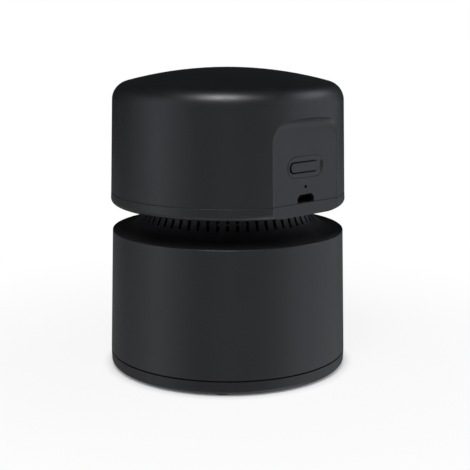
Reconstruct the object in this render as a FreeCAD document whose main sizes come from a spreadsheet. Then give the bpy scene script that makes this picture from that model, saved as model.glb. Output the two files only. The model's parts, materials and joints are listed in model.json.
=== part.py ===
import FreeCAD, Part
import Sketcher
import math
import os

# A desktop mini vacuum cleaner: a domed head and a slotted collar lift off a straight dust cup.
# The model stands on z = 0, its axis is Z, and its flat control panel faces -Y.

os.makedirs("parts", exist_ok=True)
doc = FreeCAD.newDocument("desk_vacuum")
V = FreeCAD.Vector
X_AXIS, Y_AXIS, Z_AXIS = V(1, 0, 0), V(0, 1, 0), V(0, 0, 1)

# Driving dimensions in millimetres (angles in degrees): name, value, what it measures.
DIMENSIONS = [
    ("overrun", 1.0, "how far every cutting shape runs past the face it cuts"),
    ("slide_gap", 0.25, "radial clearance of pieces that lift apart"),
    ("seat_gap", 0.2, "radial clearance of pieces that are assembled once"),
    ("shaft_gap", 0.04, "radial running clearance of the motor shaft"),
    ("thread_gap", 0.05, "radial clearance of a screw in its pilot hole"),
    ("pad_lift", 0.8, "how far the glide pads stand below the base"),
    ("pad_radius", 4.0, "glide pad"),
    ("pad_sink", 0.5, "depth of a glide pad's pocket"),
    ("pad_inset", 5.9, "middle of a glide pad from the base ring's outer face"),
    ("base_height", 4.7, "base ring from its lower face to the seam"),
    ("base_radius", 43.9, "base ring at the seam"),
    ("base_draft", 0.1, "how much narrower the base ring is at its foot"),
    ("base_round", 1.25, "round of the base ring's lower edge"),
    ("base_wall", 2.0, "base ring wall and floor"),
    ("seam_bevel", 0.3, "bevel each side of a moulded seam"),
    ("lip_wall", 1.5, "locating lip of the base cover"),
    ("lip_height", 3.2, "locating lip of the base cover"),
    ("recess_inset", 10.9, "brush recess from the base ring's outer face"),
    ("recess_rise", 3.5, "depth of the brush recess"),
    ("slot_length", 30.0, "intake slot along X"),
    ("slot_width", 9.0, "intake slot along Y"),
    ("slot_corner", 3.0, "corner radius of the intake slot"),
    ("chimney_wall", 1.5, "wall of the upstand round the intake slot"),
    ("chimney_height", 8.7, "upstand above the floor of the base cover"),
    ("bar_length", 44.0, "brush bar"),
    ("bar_width", 3.2, "brush bar"),
    ("bar_height", 1.6, "brush bar"),
    ("bar_offset", 10.0, "brush bar from the middle of the slot"),
    ("tuft_pitch", 4.0, "spacing of the bristle tufts"),
    ("tuft_root", 0.8, "bristle tuft radius at the bar"),
    ("tuft_tip", 1.25, "bristle tuft radius at the table"),
    ("tuft_clear", 0.2, "bristle tips above the table"),
    ("base_screw_inset", 5.5, "base screws from the base ring's outer face"),
    ("boss_radius", 3.2, "screw boss of the base and the cup"),
    ("cup_boss_height", 8.0, "screw boss inside the cup"),
    ("web_wall", 1.4, "web that ties a boss to its wall"),
    ("cup_height", 45.7, "dust cup from the seam to its rim"),
    ("cup_wall", 1.8, "dust cup wall"),
    ("rim_radius", 42.6, "dust cup rim"),
    ("rim_round", 0.4, "round of the rim's outer edge"),
    ("rim_lip", 0.9, "thin lip left outside the collar's seat"),
    ("rim_seat", 1.6, "depth of the collar's seat below the rim"),
    ("waist_gap", 9.6, "from the cup's rim to the head's lower face"),
    ("neck_inset", 12.2, "how much narrower the collar is at the head than the cup's rim"),
    ("collar_wall", 1.8, "collar shell"),
    ("collar_flange", 1.2, "flange under the head"),
    ("flange_width", 9.4, "flange from the neck to its opening, for the motor's screws"),
    ("skirt_depth", 8.1, "collar skirt below the cup's seat"),
    ("skirt_play", 0.65, "skirt inside the cup's wall"),
    ("skirt_step", 1.1, "step in the skirt that the fan plate seats on"),
    ("vent_count", 57.0, "number of exhaust slots"),
    ("vent_width", 1.15, "exhaust slot"),
    ("vent_foot", 4.2, "lower end of the slots above the rim"),
    ("seal_height", 1.8, "seal ring"),
    ("seal_depth", 1.2, "seal ring groove in the skirt"),
    ("seal_level", 4.4, "seal ring's lower face below the cup's seat"),
    ("seal_round", 0.5, "outer corners of the seal ring"),
    ("plate_wall", 1.6, "fan plate"),
    ("plate_rise", 1.5, "fan plate above the skirt's lower edge"),
    ("eye_radius", 12.5, "air inlet of the fan plate"),
    ("eye_round", 1.0, "round of the inlet's upper edge"),
    ("spigot_wall", 1.5, "filter spigot under the fan plate"),
    ("spigot_height", 7.5, "filter spigot under the fan plate"),
    ("guard_wall", 1.2, "bars across the inlet"),
    ("shroud_screw_inset", 3.5, "fan plate's screws from the step in the skirt"),
    ("shroud_boss", 2.6, "boss inside the collar"),
    ("fan_gap", 3.2, "impeller's rim from the bosses of the fan plate's screws"),
    ("fan_lift", 1.8, "impeller above the fan plate"),
    ("fan_wall", 1.1, "impeller plates and blades"),
    ("fan_depth", 9.0, "impeller between its plates, at the eye"),
    ("fan_taper", 3.0, "how much shallower the impeller is at its rim"),
    ("blade_root", 13.6, "inner end of the blades"),
    ("blade_arc", 34.0, "radius of a blade's curve"),
    ("blade_sweep", 48.0, "angle that a blade leans back from root to tip"),
    ("blade_count", 9.0, "number of blades"),
    ("hub_radius", 4.5, "impeller hub"),
    ("hub_rise", 1.4, "impeller hub above its back plate"),
    ("hub_drop", 6.4, "impeller hub below its back plate"),
    ("head_radius", 43.05, "head wall at its lower edge"),
    ("head_draft", 1.05, "how much narrower the head wall is at the shoulder"),
    ("head_round", 2.0, "round of the head's lower edge"),
    ("head_height", 49.0, "head from its lower face to the top of the dome"),
    ("head_shoulder", 6.8, "round between wall and dome"),
    ("head_crown", 142.3, "radius of the dome"),
    ("head_seam", 4.4, "head seam above the lower face"),
    ("head_wall", 2.0, "head shell and floor"),
    ("head_lip", 1.2, "lip inside the head seam"),
    ("head_lip_height", 2.2, "lip inside the head seam"),
    ("groove_half", 0.15, "fine groove each side of the head seam"),
    ("groove_depth", 0.15, "fine groove at the head seam"),
    ("facet_cut", 3.2, "depth of the control panel's cut at the head's lower face"),
    ("facet_height", 34.0, "control panel from the head's lower face to its arch"),
    ("facet_half", 19.7, "half width of the shape that cuts the panel"),
    ("facet_corner", 9.4, "corner radius of the panel's arch"),
    ("facet_cove", 4.8, "hollow round under the panel's arch"),
    ("button_level", 16.8, "button centre above the head's lower face"),
    ("button_length", 17.2, "button"),
    ("button_width", 7.0, "button"),
    ("button_gap", 0.22, "button in its opening"),
    ("button_flange", 1.1, "flange behind the opening"),
    ("button_flange_wall", 0.8, "flange behind the opening"),
    ("button_proud", 0.12, "button's face in front of the panel"),
    ("button_round", 0.35, "edge of the button's face"),
    ("ridge_length", 15.1, "raised bar on the button"),
    ("ridge_width", 3.6, "raised bar on the button"),
    ("ridge_height", 0.7, "raised bar on the button"),
    ("ridge_round", 0.35, "edge of the raised bar"),
    ("button_travel", 0.5, "how far the button goes in"),
    ("lamp_level", 10.0, "pinhole above the head's lower face"),
    ("lamp_radius", 0.6, "pinhole"),
    ("pipe_sink", 0.9, "light pipe's front behind the panel"),
    ("usb_width", 7.3, "charging socket"),
    ("usb_height", 2.2, "charging socket"),
    ("usb_slope", 1.15, "slope of each upper corner of the socket"),
    ("usb_wall", 0.3, "sheet of the socket's shell"),
    ("usb_clear", 0.4, "opening round the socket"),
    ("usb_sink", 1.2, "socket's mouth behind the panel"),
    ("board_setback", 8.25, "front of the control board behind the panel"),
    ("board_wall", 1.2, "control board"),
    ("board_width", 27.0, "control board"),
    ("board_height", 22.6, "control board"),
    ("board_lift", 1.8, "control board above the head's floor"),
    ("post_radius", 2.2, "posts that hold the board"),
    ("post_spread", 11.2, "posts from the panel's centre line"),
    ("switch_side", 6.0, "tact switch"),
    ("switch_depth", 3.5, "tact switch"),
    ("plunger_radius", 1.7, "switch plunger"),
    ("plunger_reach", 1.25, "switch plunger in front of its case"),
    ("plunger_root", 0.8, "switch plunger inside its case"),
    ("touch_gap", 0.05, "button to plunger at rest"),
    ("motor_radius", 12.2, "motor can"),
    ("motor_length", 29.2, "motor can"),
    ("motor_wall", 1.0, "motor can"),
    ("motor_boss", 3.0, "bearing boss on the can"),
    ("motor_boss_height", 1.4, "bearing boss on the can"),
    ("motor_screw_spread", 8.5, "motor screws from the axis"),
    ("cap_height", 2.0, "plastic end cap of the motor"),
    ("shaft_radius", 1.0, "motor shaft"),
    ("bush_radius", 2.2, "bearing bush"),
    ("bush_length", 3.2, "bearing bush"),
    ("magnet_wall", 1.8, "magnets"),
    ("magnet_length", 20.0, "magnets"),
    ("air_gap", 0.4, "armature inside the magnets"),
    ("core_length", 16.0, "armature core"),
    ("coil_height", 2.6, "winding heads"),
    ("commutator_radius", 2.6, "commutator"),
    ("commutator_length", 3.2, "commutator"),
    ("tab_width", 2.4, "motor terminals"),
    ("tab_wall", 0.5, "motor terminals"),
    ("tab_height", 3.6, "motor terminals"),
    ("cell_radius", 9.15, "battery cell"),
    ("cell_length", 35.0, "battery cell"),
    ("cradle_wall", 1.2, "battery cradle"),
    ("cradle_height", 20.0, "battery cradle"),
    ("nickel_wall", 0.3, "battery tabs"),
    ("screw_head", 2.3, "screw head radius"),
    ("screw_head_height", 1.2, "screw head"),
    ("screw_shank", 1.2, "screw shank radius"),
    ("small_head", 1.7, "small screw head radius"),
    ("small_shank", 0.85, "small screw shank radius"),
    ("head_gap", 0.4, "screw head in its counterbore"),
    ("collar_screw_inset", 4.6, "collar's screws from the neck's outer face"),
    ("cover_screw_inset", 5.85, "head cover's screws from the head's outer face"),
    ("cover_boss", 2.9, "bosses of the head cover"),
    ("cover_boss_height", 12.2, "bosses of the head cover"),
    ("collar_boss", 2.6, "bosses of the head floor"),
    ("collar_boss_height", 6.0, "bosses of the head floor"),
    ("filter_radius", 24.5, "filter"),
    ("filter_height", 18.0, "filter"),
    ("filter_end", 2.4, "filter's upper ring"),
    ("filter_floor", 1.4, "filter's lower plate"),
    ("filter_rib", 2.0, "ribs of the filter's cage"),
    ("filter_sleeve", 1.4, "sleeve that grips the spigot"),
    ("filter_sleeve_height", 5.5, "sleeve that grips the spigot"),
    ("pleat_inner", 16.8, "inner folds of the filter"),
    ("pleat_outer", 22.5, "outer folds of the filter"),
    ("pleat_wall", 0.55, "filter paper"),
    ("pleat_count", 36.0, "folds of the filter"),
    ("lead_radius", 0.65, "insulated lead"),
    ("lead_bend", 3.4, "bend radius of a lead"),
    ("lead_fit_share", 0.45, "most of a straight run that a bend may take"),
    ("lead_side_share", 0.12, "motor leads from the board's middle, of its width"),
    ("lead_plus_share", 0.26, "upper battery lead from the board's middle, of its width"),
    ("lead_minus_share", 0.36, "lower battery lead from the board's middle, of its width"),
    ("lead_hug_share", 0.8, "how near the battery leads pass the motor"),
    ("bite_share", 0.7, "part of a boss that its screw fills"),
    ("low_post_share", 0.42, "lower board posts, of the board's height"),
    ("high_post_share", 0.86, "upper board posts, of the board's height"),
    ("post_bite_share", 0.8, "part of a board post's hole that its screw fills"),
    ("tongue_share", 0.8, "tongue, of the charging socket's depth"),
    ("inductor_x_share", 0.27, "inductor from the board's middle, of its width"),
    ("inductor_z_share", 0.32, "inductor from the board's foot, of its height"),
    ("coil_share", 0.82, "winding heads, of the core's radius"),
    ("mouth_share", 0.6, "open front of the battery cradle, of its width"),
    ("nickel_share", 0.7, "battery tabs, of the cell's radius"),
]

sheet = doc.addObject("Spreadsheet::Sheet", "sizes")
for row, (alias, value, meaning) in enumerate(DIMENSIONS, start=1):
    sheet.set("A%d" % row, alias)
    sheet.set("B%d" % row, str(value))
    sheet.setAlias("B%d" % row, alias)
    sheet.set("C%d" % row, meaning)
doc.recompute()


class Size:
    """A number that remembers the sheet formula it comes from, so that it can be bound to a property."""

    def __init__(self, value, text):
        self.value = float(value)
        self.text = text

    def join(self, other, sign, swap=False):
        other = as_size(other)
        first, second = (other, self) if swap else (self, other)
        a, b = first.value, second.value
        value = {"+": a + b, "-": a - b, "*": a * b}[sign] if sign != "/" else a / b
        return Size(value, "(%s %s %s)" % (first.text, sign, second.text))

    def __add__(self, other):
        return self.join(other, "+")

    def __radd__(self, other):
        return self.join(other, "+", swap=True)

    def __sub__(self, other):
        return self.join(other, "-")

    def __rsub__(self, other):
        return self.join(other, "-", swap=True)

    def __mul__(self, other):
        return self.join(other, "*")

    def __rmul__(self, other):
        return self.join(other, "*", swap=True)

    def __truediv__(self, other):
        return self.join(other, "/")

    def __neg__(self):
        return Size(-self.value, "(0 - %s)" % self.text)

    def __float__(self):
        return self.value


def as_size(number):
    return number if isinstance(number, Size) else Size(number, "(%r)" % float(number))


def root(size):
    return Size(math.sqrt(size.value), "sqrt(%s)" % size.text)


def smaller(first, second):
    return Size(min(first.value, second.value), "min(%s; %s)" % (first.text, second.text))


def sine(degrees):
    degrees = as_size(degrees)
    return Size(math.sin(math.radians(degrees.value)), "sin(%s)" % degrees.text)


def cosine(degrees):
    degrees = as_size(degrees)
    return Size(math.cos(math.radians(degrees.value)), "cos(%s)" % degrees.text)


class Dimensions:
    """dim.cup_wall is the sheet's cell of that name."""

    def __getattr__(self, alias):
        return Size(float(sheet.get(alias)), "sizes." + alias)


dim = Dimensions()
ZERO = Size(0, "0")
NEAR = 1e-4

# Radii and distances from the axis that follow the three outside walls.
base_screw_circle = dim.base_radius - dim.base_screw_inset
pad_circle = dim.base_radius - dim.pad_inset
recess_radius = dim.base_radius - dim.recess_inset
neck_radius = dim.rim_radius - dim.neck_inset
flange_bore = neck_radius - dim.flange_width
head_top_radius = dim.head_radius - dim.head_draft
cover_screw_circle = dim.head_radius - dim.cover_screw_inset
boss_room = dim.cover_boss + dim.collar_boss + dim.seat_gap
collar_screw_circle = smaller(neck_radius - dim.collar_screw_inset, cover_screw_circle - boss_room)
facet_depth = dim.head_radius - dim.facet_cut
board_depth = facet_depth - dim.board_setback

# Levels above the table, from the foot to the dome.
base_low = dim.pad_lift
base_floor = base_low + dim.base_wall
recess_low = base_low + dim.recess_rise
recess_floor = recess_low + dim.base_wall
seam = base_low + dim.base_height
boss_meet = seam + dim.lip_height
chimney_top = recess_floor + dim.chimney_height
rim = seam + dim.cup_height
collar_seat = rim - dim.rim_seat
skirt_low = collar_seat - dim.skirt_depth
plate_low = skirt_low + dim.plate_rise
plate_top = plate_low + dim.plate_wall
fan_low = plate_top + dim.fan_lift
fan_back = fan_low + dim.fan_wall + dim.fan_depth
fan_top = fan_back + dim.fan_wall
head_low = rim + dim.waist_gap
head_floor = head_low + dim.head_wall
head_joint = head_low + dim.head_seam
dome_top = head_low + dim.head_height
motor_low = head_floor
motor_high = motor_low + dim.motor_length


# Binding and small solids

def bind(item, **properties):
    """Bind properties such as Radius to sheet formulas."""
    for name, size in properties.items():
        item.setExpression(name, as_size(size).text)


def put(item, place, rotation=None):
    """Bind the position; the rotation is given as (axis, angle in degrees)."""
    if rotation:
        axis, angle = rotation
        item.Placement = FreeCAD.Placement(V(0, 0, 0), FreeCAD.Rotation(axis, float(as_size(angle))))
        if isinstance(angle, Size):
            item.setExpression("Placement.Rotation.Angle", angle.text)
    for letter, size in zip("xyz", place):
        item.setExpression("Placement.Base." + letter, as_size(size).text)
    return item


TURN_TO = {"up": None, "down": (X_AXIS, 180), "front": (X_AXIS, 90), "back": (-X_AXIS, 90)}


def rod(name, radius, length, place, heading="up"):
    item = doc.addObject("Part::Cylinder", name)
    bind(item, Radius=radius, Height=length)
    return put(item, place, TURN_TO[heading])


def cone(name, low_radius, high_radius, length, place):
    item = doc.addObject("Part::Cone", name)
    bind(item, Radius1=low_radius, Radius2=high_radius, Height=length)
    return put(item, place)


def block(name, spans, place, rotation=None):
    """A box from place towards +X, +Y and +Z."""
    item = doc.addObject("Part::Box", name)
    bind(item, Length=spans[0], Width=spans[1], Height=spans[2])
    return put(item, place, rotation)


def centred(name, spans, middle_x, middle_y, low):
    """A box centred across and standing on the level low."""
    return block(name, spans, (middle_x - spans[0] / 2, middle_y - spans[1] / 2, low))


def fuse(name, items):
    if len(items) == 1:
        items[0].Label = name
        return items[0]
    item = doc.addObject("Part::MultiFuse", name)
    item.Shapes = list(items)
    item.Refine = True
    return item


def cut(name, base, tools):
    item = doc.addObject("Part::Cut", name)
    item.Base = base
    item.Tool = tools[0] if len(tools) == 1 else fuse(name + "_tools", tools)
    item.Refine = True
    return item


def group(name, items):
    item = doc.addObject("Part::Compound", name)
    item.Links = list(items)
    return item


def rounded(name, base, picks):
    """Round the edges that each test picks: picks is a list of (test of an edge, radius)."""
    doc.recompute()
    chosen = []
    for number, edge in enumerate(base.Shape.Edges, start=1):
        for test, radius in picks:
            if test(edge):
                chosen.append((number, radius.value, radius.value))
                break
    item = doc.addObject("Part::Fillet", name)
    item.Base = base
    item.Edges = chosen
    return item


def runs_along(axis):
    def test(edge):
        if edge.Curve.TypeId != "Part::GeomLine":
            return False
        return abs(edge.tangentAt(edge.FirstParameter).dot(axis)) > 1 - NEAR
    return test


def on_circle(radius, degrees):
    """A point of a circle round the axis, as formulas."""
    return radius * cosine(degrees), radius * sine(degrees)


QUARTERS = [0, 90, 180, 270]
DIAGONALS = [45, 135, 225, 315]


# Sketches

def origin_plane(body, role):
    return next(plane for plane in body.Origin.OriginFeatures if plane.Role == role)


def new_sketch(body, name, role, offset=None):
    sketch = body.newObject("Sketcher::SketchObject", name)
    sketch.AttachmentSupport = [(origin_plane(body, role), "")]
    sketch.MapMode = "FlatFace"
    if offset is not None:
        sketch.setExpression("AttachmentOffset.Base.z", offset.text)
    return sketch


def pin(sketch, piece, end, across, up):
    """Hold one end of a sketch piece at a place that the sheet gives."""
    for kind, size, axis in (("DistanceX", across, -2), ("DistanceY", up, -1)):
        if size.text == ZERO.text:
            sketch.addConstraint(Sketcher.Constraint("PointOnObject", piece, end, axis))
        else:
            number = sketch.addConstraint(Sketcher.Constraint(kind, piece, end, size.value))
            sketch.setExpression("Constraints[%d]" % number, size.text)


def arc_between(start, end, side, radius):
    """The short arc from start to end, with its centre on the named side of the way there."""
    way = end - start
    across = V(-way.y, way.x, 0).normalize() * (1 if side == "left" else -1)
    middle = (start + end) * 0.5
    depth = math.sqrt(max(radius * radius - (way.Length / 2) ** 2, 0))
    centre = middle + across * depth
    crest = centre - across * radius
    return Part.Arc(start, crest, end) if side == "left" else Part.Arc(end, crest, start)


def outline(sketch, corners):
    """A closed outline. A corner is (across, up), or (across, up, side, radius) where the way to the
    next corner is an arc with its centre on that side."""
    spots = [V(corner[0].value, corner[1].value, 0) for corner in corners]
    first = sketch.GeometryCount
    ends = []
    for number, corner in enumerate(corners):
        start, end = spots[number], spots[(number + 1) % len(spots)]
        if len(corner) == 4:
            sketch.addGeometry(arc_between(start, end, corner[2], corner[3].value))
            starts_there = (sketch.Geometry[-1].StartPoint - start).Length < NEAR
            ends.append((1, 2) if starts_there else (2, 1))
        else:
            sketch.addGeometry(Part.LineSegment(start, end))
            ends.append((1, 2))
    for number, corner in enumerate(corners):
        after = (number + 1) % len(corners)
        joint = (first + number, ends[number][1], first + after, ends[after][0])
        sketch.addConstraint(Sketcher.Constraint("Coincident", *joint))
    for number, corner in enumerate(corners):
        pin(sketch, first + number, ends[number][0], corner[0], corner[1])
        if len(corner) == 4:
            index = sketch.addConstraint(Sketcher.Constraint("Radius", first + number, corner[3].value))
            sketch.setExpression("Constraints[%d]" % index, corner[3].text)


def turned(name, corners, body=None, subtract=False):
    """Turn a half section (radius, level) once round the axis."""
    body = body or doc.addObject("PartDesign::Body", name)
    sketch = new_sketch(body, name + ("_groove_section" if subtract else "_section"), "XZ_Plane")
    outline(sketch, corners)
    kind = "PartDesign::Groove" if subtract else "PartDesign::Revolution"
    turn = body.newObject(kind, name + ("_groove" if subtract else "_turn"))
    turn.Profile = sketch
    turn.ReferenceAxis = (sketch, ["V_Axis"])
    turn.Angle = 360
    return body


def pill(name, length, width, depth, place, heading="front"):
    """A flat pill that stands out along the heading from its place."""
    body = doc.addObject("PartDesign::Body", name)
    sketch = new_sketch(body, name + "_outline", "XY_Plane")
    reach = (length - width) / 2
    radius = width / 2
    a, r = reach.value, radius.value
    sketch.addGeometry(Part.LineSegment(V(-a, r, 0), V(a, r, 0)))
    sketch.addGeometry(Part.Arc(V(a, -r, 0), V(a + r, 0, 0), V(a, r, 0)))
    sketch.addGeometry(Part.LineSegment(V(a, -r, 0), V(-a, -r, 0)))
    sketch.addGeometry(Part.Arc(V(-a, r, 0), V(-a - r, 0, 0), V(-a, -r, 0)))
    for joint in ((0, 2, 1, 2), (1, 1, 2, 1), (2, 2, 3, 2), (3, 1, 0, 1)):
        sketch.addConstraint(Sketcher.Constraint("Tangent", *joint))
    sketch.addConstraint(Sketcher.Constraint("Equal", 1, 3))
    for piece, across in ((1, reach), (3, -reach)):
        pin(sketch, piece, 3, across, ZERO)
    index = sketch.addConstraint(Sketcher.Constraint("Radius", 1, r))
    sketch.setExpression("Constraints[%d]" % index, radius.text)
    pad = body.newObject("PartDesign::Pad", name + "_pad")
    pad.Profile = sketch
    bind(pad, Length=depth)
    return put(body, place, TURN_TO[heading])


def screw(name, head, shank, length, place, heading):
    """A pan-head screw: place is where the head's underside sits, heading is where the shank goes."""
    opposite = {"up": "down", "down": "up", "front": "back", "back": "front"}[heading]
    stem = rod(name + "_shank", shank, length, place, heading)
    top = rod(name + "_head", head, dim.screw_head_height, place, opposite)
    return fuse(name, [stem, top])


def socket_corners(half, low, height, slope):
    """The charging socket's outline: wide side down, sloping upper corners."""
    shoulder = low + height - slope
    return [(-half, low), (half, low), (half, shoulder), (half - slope, low + height),
            (slope - half, low + height), (-half, shoulder)]


def standing_pad(name, corners, depth, front):
    """A profile drawn in X and Z, padded forward (to -Y) from y = front + depth to y = front."""
    body = doc.addObject("PartDesign::Body", name)
    sketch = new_sketch(body, name + "_outline", "XZ_Plane")
    outline(sketch, corners)
    pad = body.newObject("PartDesign::Pad", name + "_pad")
    pad.Profile = sketch
    bind(pad, Length=depth)
    return put(body, (ZERO, front + depth, ZERO))


KEPT = []


def keep(item, name):
    item.Label = name
    KEPT.append(item)
    return item


# Dust cup: a tapered tube with a rebated rim, where the collar sits, and four screw bosses.

cup_taper = (dim.base_radius - dim.rim_radius) / dim.cup_height


def cup_outer(level):
    return dim.base_radius - (level - seam) * cup_taper


def cup_inner(level):
    return cup_outer(level) - dim.cup_wall


cup_tube = turned("cup_tube", [
    (cup_outer(seam) - dim.seam_bevel, seam),
    (cup_outer(seam), seam + dim.seam_bevel),
    (cup_outer(rim), rim - dim.rim_round, "left", dim.rim_round),
    (cup_outer(rim) - dim.rim_round, rim),
    (cup_outer(rim) - dim.rim_lip, rim),
    (cup_outer(rim) - dim.rim_lip, collar_seat),
    (cup_inner(collar_seat), collar_seat),
    (cup_inner(seam), seam),
])
cup_pieces = [cup_tube]
for number, degrees in enumerate(QUARTERS):
    x, y = on_circle(base_screw_circle, degrees)
    cup_pieces.append(rod("cup_boss_%d" % number, dim.boss_radius, dim.cup_boss_height, (x, y, boss_meet)))
web_reach = dim.base_radius - dim.cup_wall / 2 - base_screw_circle
for number, degrees in enumerate(QUARTERS):
    web = block("cup_web_%d" % number, (web_reach, dim.web_wall, dim.cup_boss_height), (ZERO, ZERO, ZERO))
    along_x, along_y = on_circle(base_screw_circle, degrees)
    side_x, side_y = on_circle(dim.web_wall / 2, degrees - 90)
    put(web, (along_x + side_x, along_y + side_y, boss_meet), (Z_AXIS, degrees))
    cup_pieces.append(web)
pilot = dim.screw_shank + dim.thread_gap
cup_holes = []
for number, degrees in enumerate(QUARTERS):
    x, y = on_circle(base_screw_circle, degrees)
    hole_low = boss_meet - dim.overrun
    cup_holes.append(rod("cup_pilot_%d" % number, pilot, dim.cup_boss_height, (x, y, hole_low)))
keep(cut("dust_cup_body", fuse("cup_walls", cup_pieces), cup_holes), "dust_cup")


# Base cover: outer ring, floor with a raised brush recess, locating lip, intake slot with its upstand.

lip_outer = smaller(cup_inner(seam), cup_inner(boss_meet)) - dim.slide_gap
base_foot = dim.base_radius - dim.base_draft
base_shell = turned("base_shell", [
    (ZERO, recess_low),
    (recess_radius, recess_low),
    (recess_radius, base_low),
    (base_foot - dim.base_round, base_low, "left", dim.base_round),
    (base_foot, base_low + dim.base_round),
    (dim.base_radius, seam - dim.seam_bevel),
    (dim.base_radius - dim.seam_bevel, seam),
    (lip_outer, seam),
    (lip_outer, boss_meet),
    (lip_outer - dim.lip_wall, boss_meet),
    (lip_outer - dim.lip_wall, base_floor),
    (recess_radius + dim.base_wall, base_floor),
    (recess_radius + dim.base_wall, recess_floor),
    (ZERO, recess_floor),
])


def slot_block(name, grow, low, high):
    """A block with rounded corners, as large as the intake slot and a margin."""
    spans = (dim.slot_length + 2 * grow, dim.slot_width + 2 * grow, high - low)
    plain = centred(name + "_plain", spans, ZERO, ZERO, low)
    return rounded(name, plain, [(runs_along(Z_AXIS), dim.slot_corner + grow)])


chimney = slot_block("chimney", dim.chimney_wall, recess_low + dim.base_wall / 2, chimney_top)
intake = slot_block("intake", ZERO, recess_low - dim.overrun, chimney_top + dim.overrun)
base_pieces, base_cuts = [base_shell, chimney], [intake]
base_seat = base_low + dim.screw_head_height + dim.seam_bevel
for number, degrees in enumerate(QUARTERS):
    x, y = on_circle(base_screw_circle, degrees)
    boss_low = base_low + dim.base_wall / 2
    base_pieces.append(rod("base_boss_%d" % number, dim.boss_radius, boss_meet - boss_low, (x, y, boss_low)))
    free = dim.screw_shank + dim.slide_gap
    base_cuts.append(rod("base_hole_%d" % number, free, boss_meet, (x, y, base_low)))
    sink = dim.screw_head + dim.head_gap
    reach = base_seat - base_low + dim.overrun
    base_cuts.append(rod("base_sink_%d" % number, sink, reach, (x, y, base_low - dim.overrun)))
for number, degrees in enumerate(DIAGONALS):
    x, y = on_circle(pad_circle, degrees)
    pocket = dim.pad_radius + dim.seat_gap
    reach = dim.pad_sink + dim.overrun
    base_cuts.append(rod("pad_pocket_%d" % number, pocket, reach, (x, y, base_low - dim.overrun)))
keep(cut("base_cover_body", fuse("base_walls", base_pieces), base_cuts), "base_cover")

base_screws, pads = [], []
base_screw_length = boss_meet - base_seat + dim.cup_boss_height / 2
for number, degrees in enumerate(QUARTERS):
    x, y = on_circle(base_screw_circle, degrees)
    base_screws.append(screw("base_screw_%d" % number, dim.screw_head, dim.screw_shank,
                             base_screw_length, (x, y, base_seat), "up"))
for number, degrees in enumerate(DIAGONALS):
    x, y = on_circle(pad_circle, degrees)
    pads.append(rod("pad_%d" % number, dim.pad_radius, dim.pad_lift + dim.pad_sink, (x, y, ZERO)))
keep(group("base_screw_group", base_screws), "base_screws")
keep(group("pad_group", pads), "glide_pads")

# Brush: a bar of bristle tufts on each long side of the intake slot.

bars, tufts = [], []
bar_low = recess_low - dim.bar_height
tuft_reach = int((dim.bar_length.value / 2 - dim.tuft_tip.value) // dim.tuft_pitch.value)
for side in (-1, 1):
    spans = (dim.bar_length, dim.bar_width, dim.bar_height)
    bars.append(centred("bar_%d" % (side + 1), spans, ZERO, dim.bar_offset * side, bar_low))
    for step in range(-tuft_reach, tuft_reach + 1):
        name = "tuft_%d_%d" % (side + 1, step + tuft_reach)
        place = (dim.tuft_pitch * step, dim.bar_offset * side, dim.tuft_clear)
        tufts.append(cone(name, dim.tuft_tip, dim.tuft_root, bar_low - dim.tuft_clear, place))
keep(group("bar_group", bars), "brush_bars")
keep(group("tuft_group", tufts), "brush_tufts")


# Vent collar: a hollow shell whose outer face is a quarter-round hollow, with a skirt inside the cup and
# a ring of slots.

collar_rim = cup_outer(rim) - dim.rim_lip - dim.slide_gap
cup_bore = smaller(cup_inner(collar_seat), cup_inner(skirt_low))
skirt_outer = cup_bore - dim.skirt_play
skirt_inner = skirt_outer - dim.collar_wall
step_inner = skirt_inner - dim.skirt_step
shroud_screw_circle = step_inner - dim.shroud_screw_inset
fan_radius = shroud_screw_circle - dim.shroud_boss - dim.fan_gap
flange_low = head_low - dim.collar_flange
seal_low = collar_seat - dim.seal_level
cove_middle = neck_radius + dim.waist_gap
cove_inner = dim.waist_gap + dim.collar_wall
step_reach = cove_middle - step_inner


def cove_inner_at(level):
    """Inner radius of the collar's quarter-round at a level."""
    drop = head_low - level
    return cove_middle - root(cove_inner * cove_inner - drop * drop)


collar = turned("collar_shell", [
    (collar_rim, collar_seat),
    (collar_rim, rim),
    (cove_middle, rim, "right", dim.waist_gap),
    (neck_radius, head_low),
    (flange_bore, head_low),
    (flange_bore, flange_low),
    (cove_inner_at(flange_low), flange_low, "left", cove_inner),
    (step_inner, head_low - root(cove_inner * cove_inner - step_reach * step_reach)),
    (step_inner, plate_top),
    (skirt_inner, plate_top),
    (skirt_inner, skirt_low),
    (skirt_outer, skirt_low),
    (skirt_outer, seal_low),
    (skirt_outer - dim.seal_depth, seal_low),
    (skirt_outer - dim.seal_depth, seal_low + dim.seal_height),
    (skirt_outer, seal_low + dim.seal_height),
    (skirt_outer, collar_seat),
])
vent_low = rim + dim.vent_foot
vent_sketch = new_sketch(collar, "vent_outline", "XY_Plane", vent_low)
vent_near = neck_radius - 2 * dim.collar_wall
vent_far = collar_rim
half_vent = dim.vent_width / 2
outline(vent_sketch, [
    (vent_near, -half_vent),
    (vent_far, -half_vent),
    (vent_far, half_vent),
    (vent_near, half_vent),
])
vent = collar.newObject("PartDesign::Pocket", "vent")
vent.Profile = vent_sketch
vent.Reversed = True
bind(vent, Length=flange_low - vent_low)
vents = collar.newObject("PartDesign::PolarPattern", "vents")
vents.Originals = [vent]
vents.Axis = (vent_sketch, ["N_Axis"])
vents.Angle = 360
bind(vents, Occurrences=dim.vent_count)
collar.Tip = vents

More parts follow.
